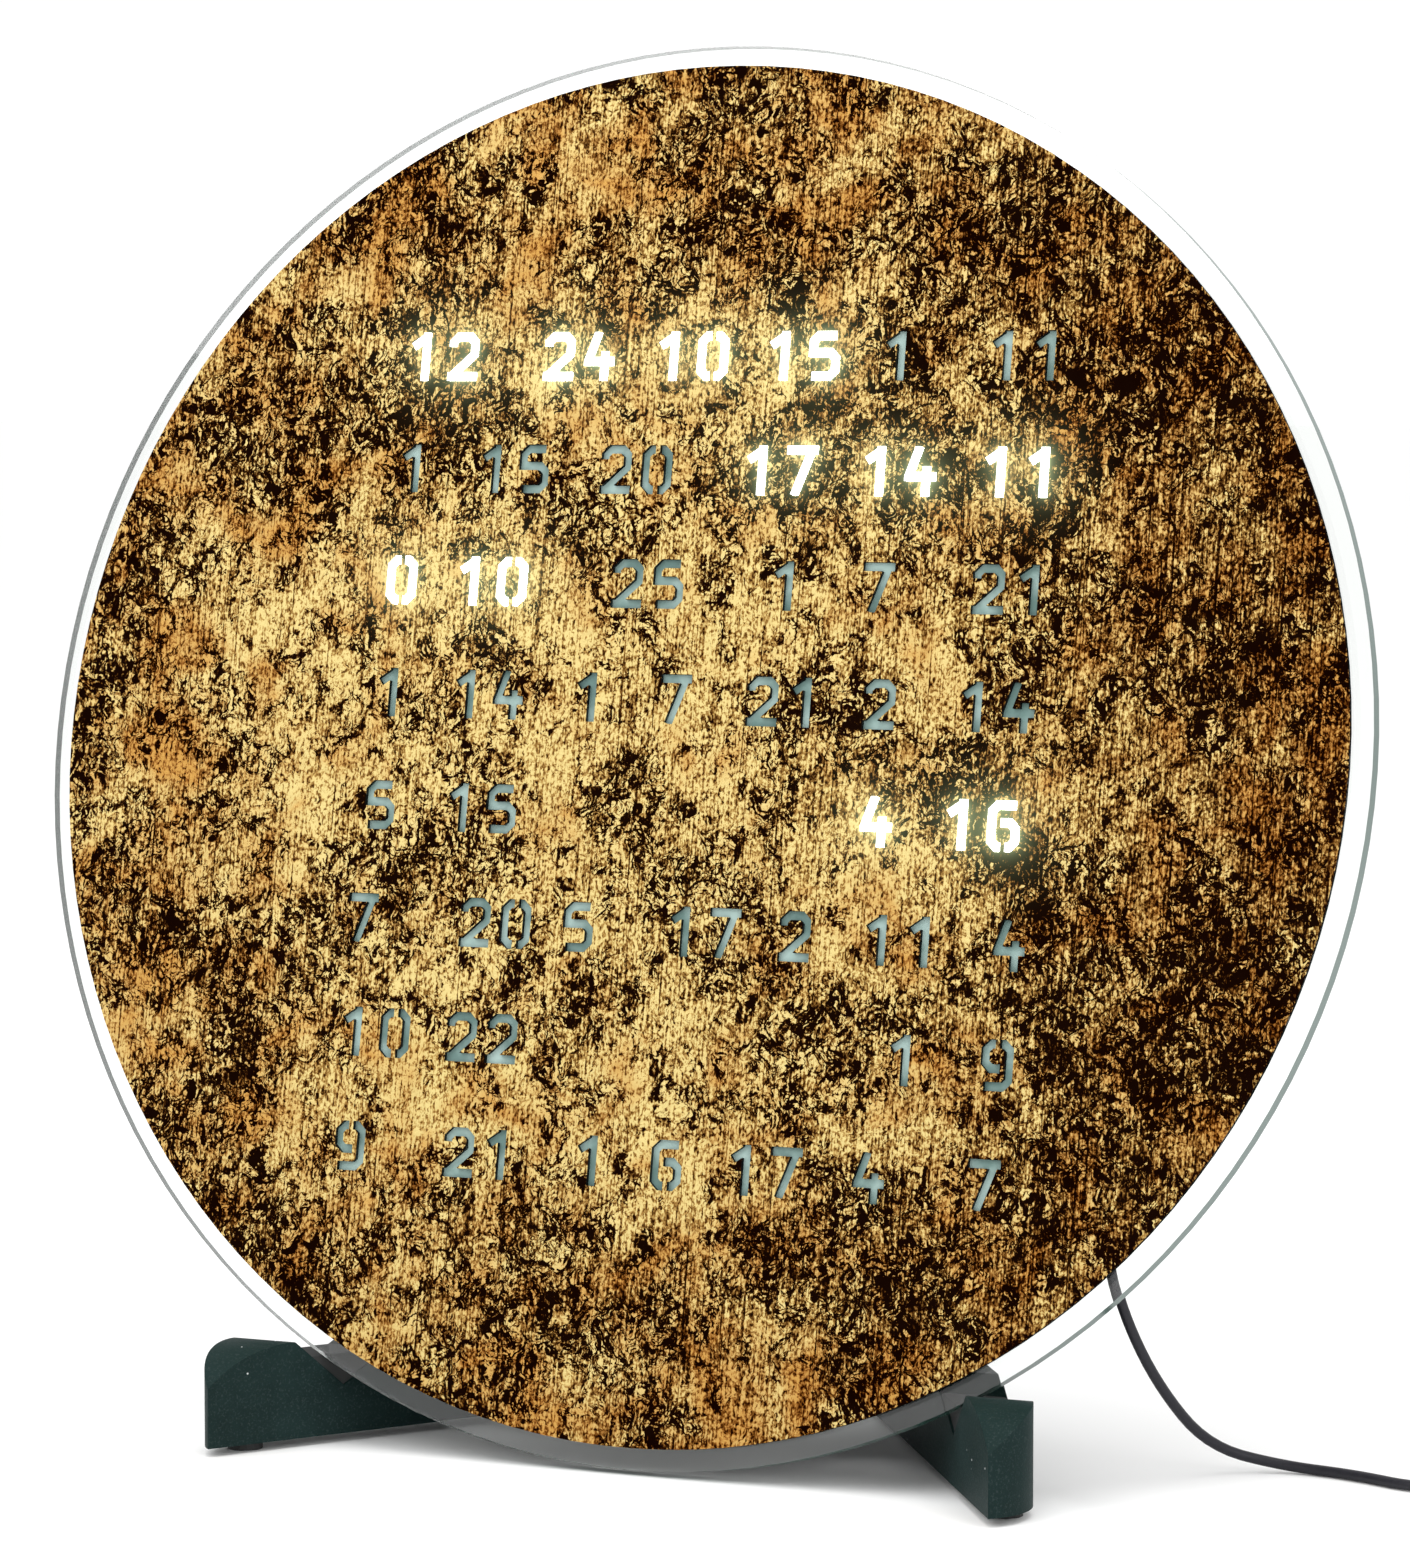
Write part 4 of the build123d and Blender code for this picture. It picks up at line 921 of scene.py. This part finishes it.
class CLOCK_OT_screws(bpy.types.Operator):
    """Black zinc screws with sockets in their heads"""

    bl_idname = "clock.screws"
    bl_label = "Screws"

    def execute(self, context):
        zinc = grained("black_zinc", (0.10, 0.10, 0.105), 0.35, 1600, 0.03, 1.0, 0.15)
        socket = context.scene.clock_sizes.screw_socket
        # Name, axis of the head, its height, the shank's radius, and whether the head is sunk
        kinds = (
            ("cover_screws", -OUTWARDS, 2.0, 1.5, False),
            ("board_screws", -OUTWARDS, 2.0, 1.5, False),
            ("rest_screws", -OUTWARDS, 2.6, 2.0, False),
            ("stand_screws", Vector((0, 0, 1)), 1.8, 1.98, True),
        )
        for name, axis, head_height, shank, sunk in kinds:
            mesh = bmesh.new()
            for points in solid_vertices(name):
                top, length, widest = measure_turned(points, axis)
                outline = screw_outline(widest / MM, head_height, shank, length / MM, socket, sunk)
                turned_piece(mesh, outline, axis_matrix(top, axis), 24)
            shade_by_angle(mesh)
            screws = add_piece(name + "_turned", mesh, zinc)
            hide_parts(name)
        return {"FINISHED"}


class CLOCK_OT_stage(bpy.types.Operator):
    """Pale floor, soft studio light and the glow round the lit numerals"""

    bl_idname = "clock.stage"
    bl_label = "Stage"

    def add_light(self, name, place, target, size, power):
        """A square soft light that faces a point."""
        data = bpy.data.lights.new(name, "AREA")
        data.size = size
        data.energy = power
        light = bpy.data.objects.new(name, data)
        light.location = place
        light.rotation_euler = (Vector(target) - Vector(place)).to_track_quat("-Z", "Y").to_euler()
        bpy.context.scene.collection.objects.link(light)

    def execute(self, context):
        scene = context.scene
        floor_mesh = bmesh.new()
        bmesh.ops.create_grid(floor_mesh, x_segments=8, y_segments=8, size=FLOOR_REACH)
        data = bpy.data.meshes.new("floor")
        floor_mesh.to_mesh(data)
        floor_mesh.free()
        finish = Finish("pale_floor")
        finish.surface(Base_Color=(0.96, 0.96, 0.955, 1), Roughness=0.9)
        data.materials.append(finish.material)
        floor = bpy.data.objects.new("floor", data)
        scene.collection.objects.link(floor)

        world = bpy.data.worlds.new("studio")
        world.use_nodes = True
        sky = world.node_tree.nodes["Background"]
        sky.inputs["Color"].default_value = (1.0, 1.0, 1.0, 1)
        sky.inputs["Strength"].default_value = 1.05
        scene.world = world
        for light in LIGHTS:
            self.add_light(*light)

        scene.view_settings.view_transform = "Standard"
        scene.use_nodes = True
        tree = scene.node_tree
        tree.nodes.clear()
        layers = tree.nodes.new("CompositorNodeRLayers")
        glow = tree.nodes.new("CompositorNodeGlare")
        glow.glare_type = "BLOOM"
        glow.inputs["Threshold"].default_value = 2.2
        glow.inputs["Strength"].default_value = 0.25
        glow.inputs["Size"].default_value = 0.06
        glow.inputs["Tint"].default_value = (0.86, 1.0, 0.55, 1)
        result = tree.nodes.new("CompositorNodeComposite")
        tree.links.new(layers.outputs["Image"], glow.inputs["Image"])
        tree.links.new(glow.outputs["Image"], result.inputs["Image"])
        return {"FINISHED"}


STEPS = ["camera", "lead", "panel", "glass", "stand", "housing", "boards", "screws", "stage"]


class CLOCK_PT_sidebar(bpy.types.Panel):
    """Lists the clock's steps and settings"""

    bl_idname = "CLOCK_PT_sidebar"
    bl_label = "Table clock"
    bl_space_type = "VIEW_3D"
    bl_region_type = "UI"
    bl_category = "Clock"

    def draw(self, context):
        for settings in (context.scene.clock_finishes, context.scene.clock_sizes):
            for name in settings.bl_rna.properties.keys():
                if name not in {"rna_type", "name"}:
                    self.layout.prop(settings, name)
        for step in STEPS:
            self.layout.operator("clock." + step)


CLASSES = [
    ClockFinishes,
    ClockSizes,
    CLOCK_OT_camera,
    CLOCK_OT_lead,
    CLOCK_OT_panel,
    CLOCK_OT_glass,
    CLOCK_OT_stand,
    CLOCK_OT_housing,
    CLOCK_OT_boards,
    CLOCK_OT_screws,
    CLOCK_OT_stage,
    CLOCK_PT_sidebar,
]


def register():
    for item in CLASSES:
        bpy.utils.register_class(item)
    bpy.types.Scene.clock_finishes = PointerProperty(type=ClockFinishes)
    bpy.types.Scene.clock_sizes = PointerProperty(type=ClockSizes)


def unregister():
    del bpy.types.Scene.clock_sizes
    del bpy.types.Scene.clock_finishes
    for item in reversed(CLASSES):
        bpy.utils.unregister_class(item)


def main():
    register()
    for step in STEPS:
        getattr(bpy.ops.clock, step)()


if __name__ == "__main__":
    main()
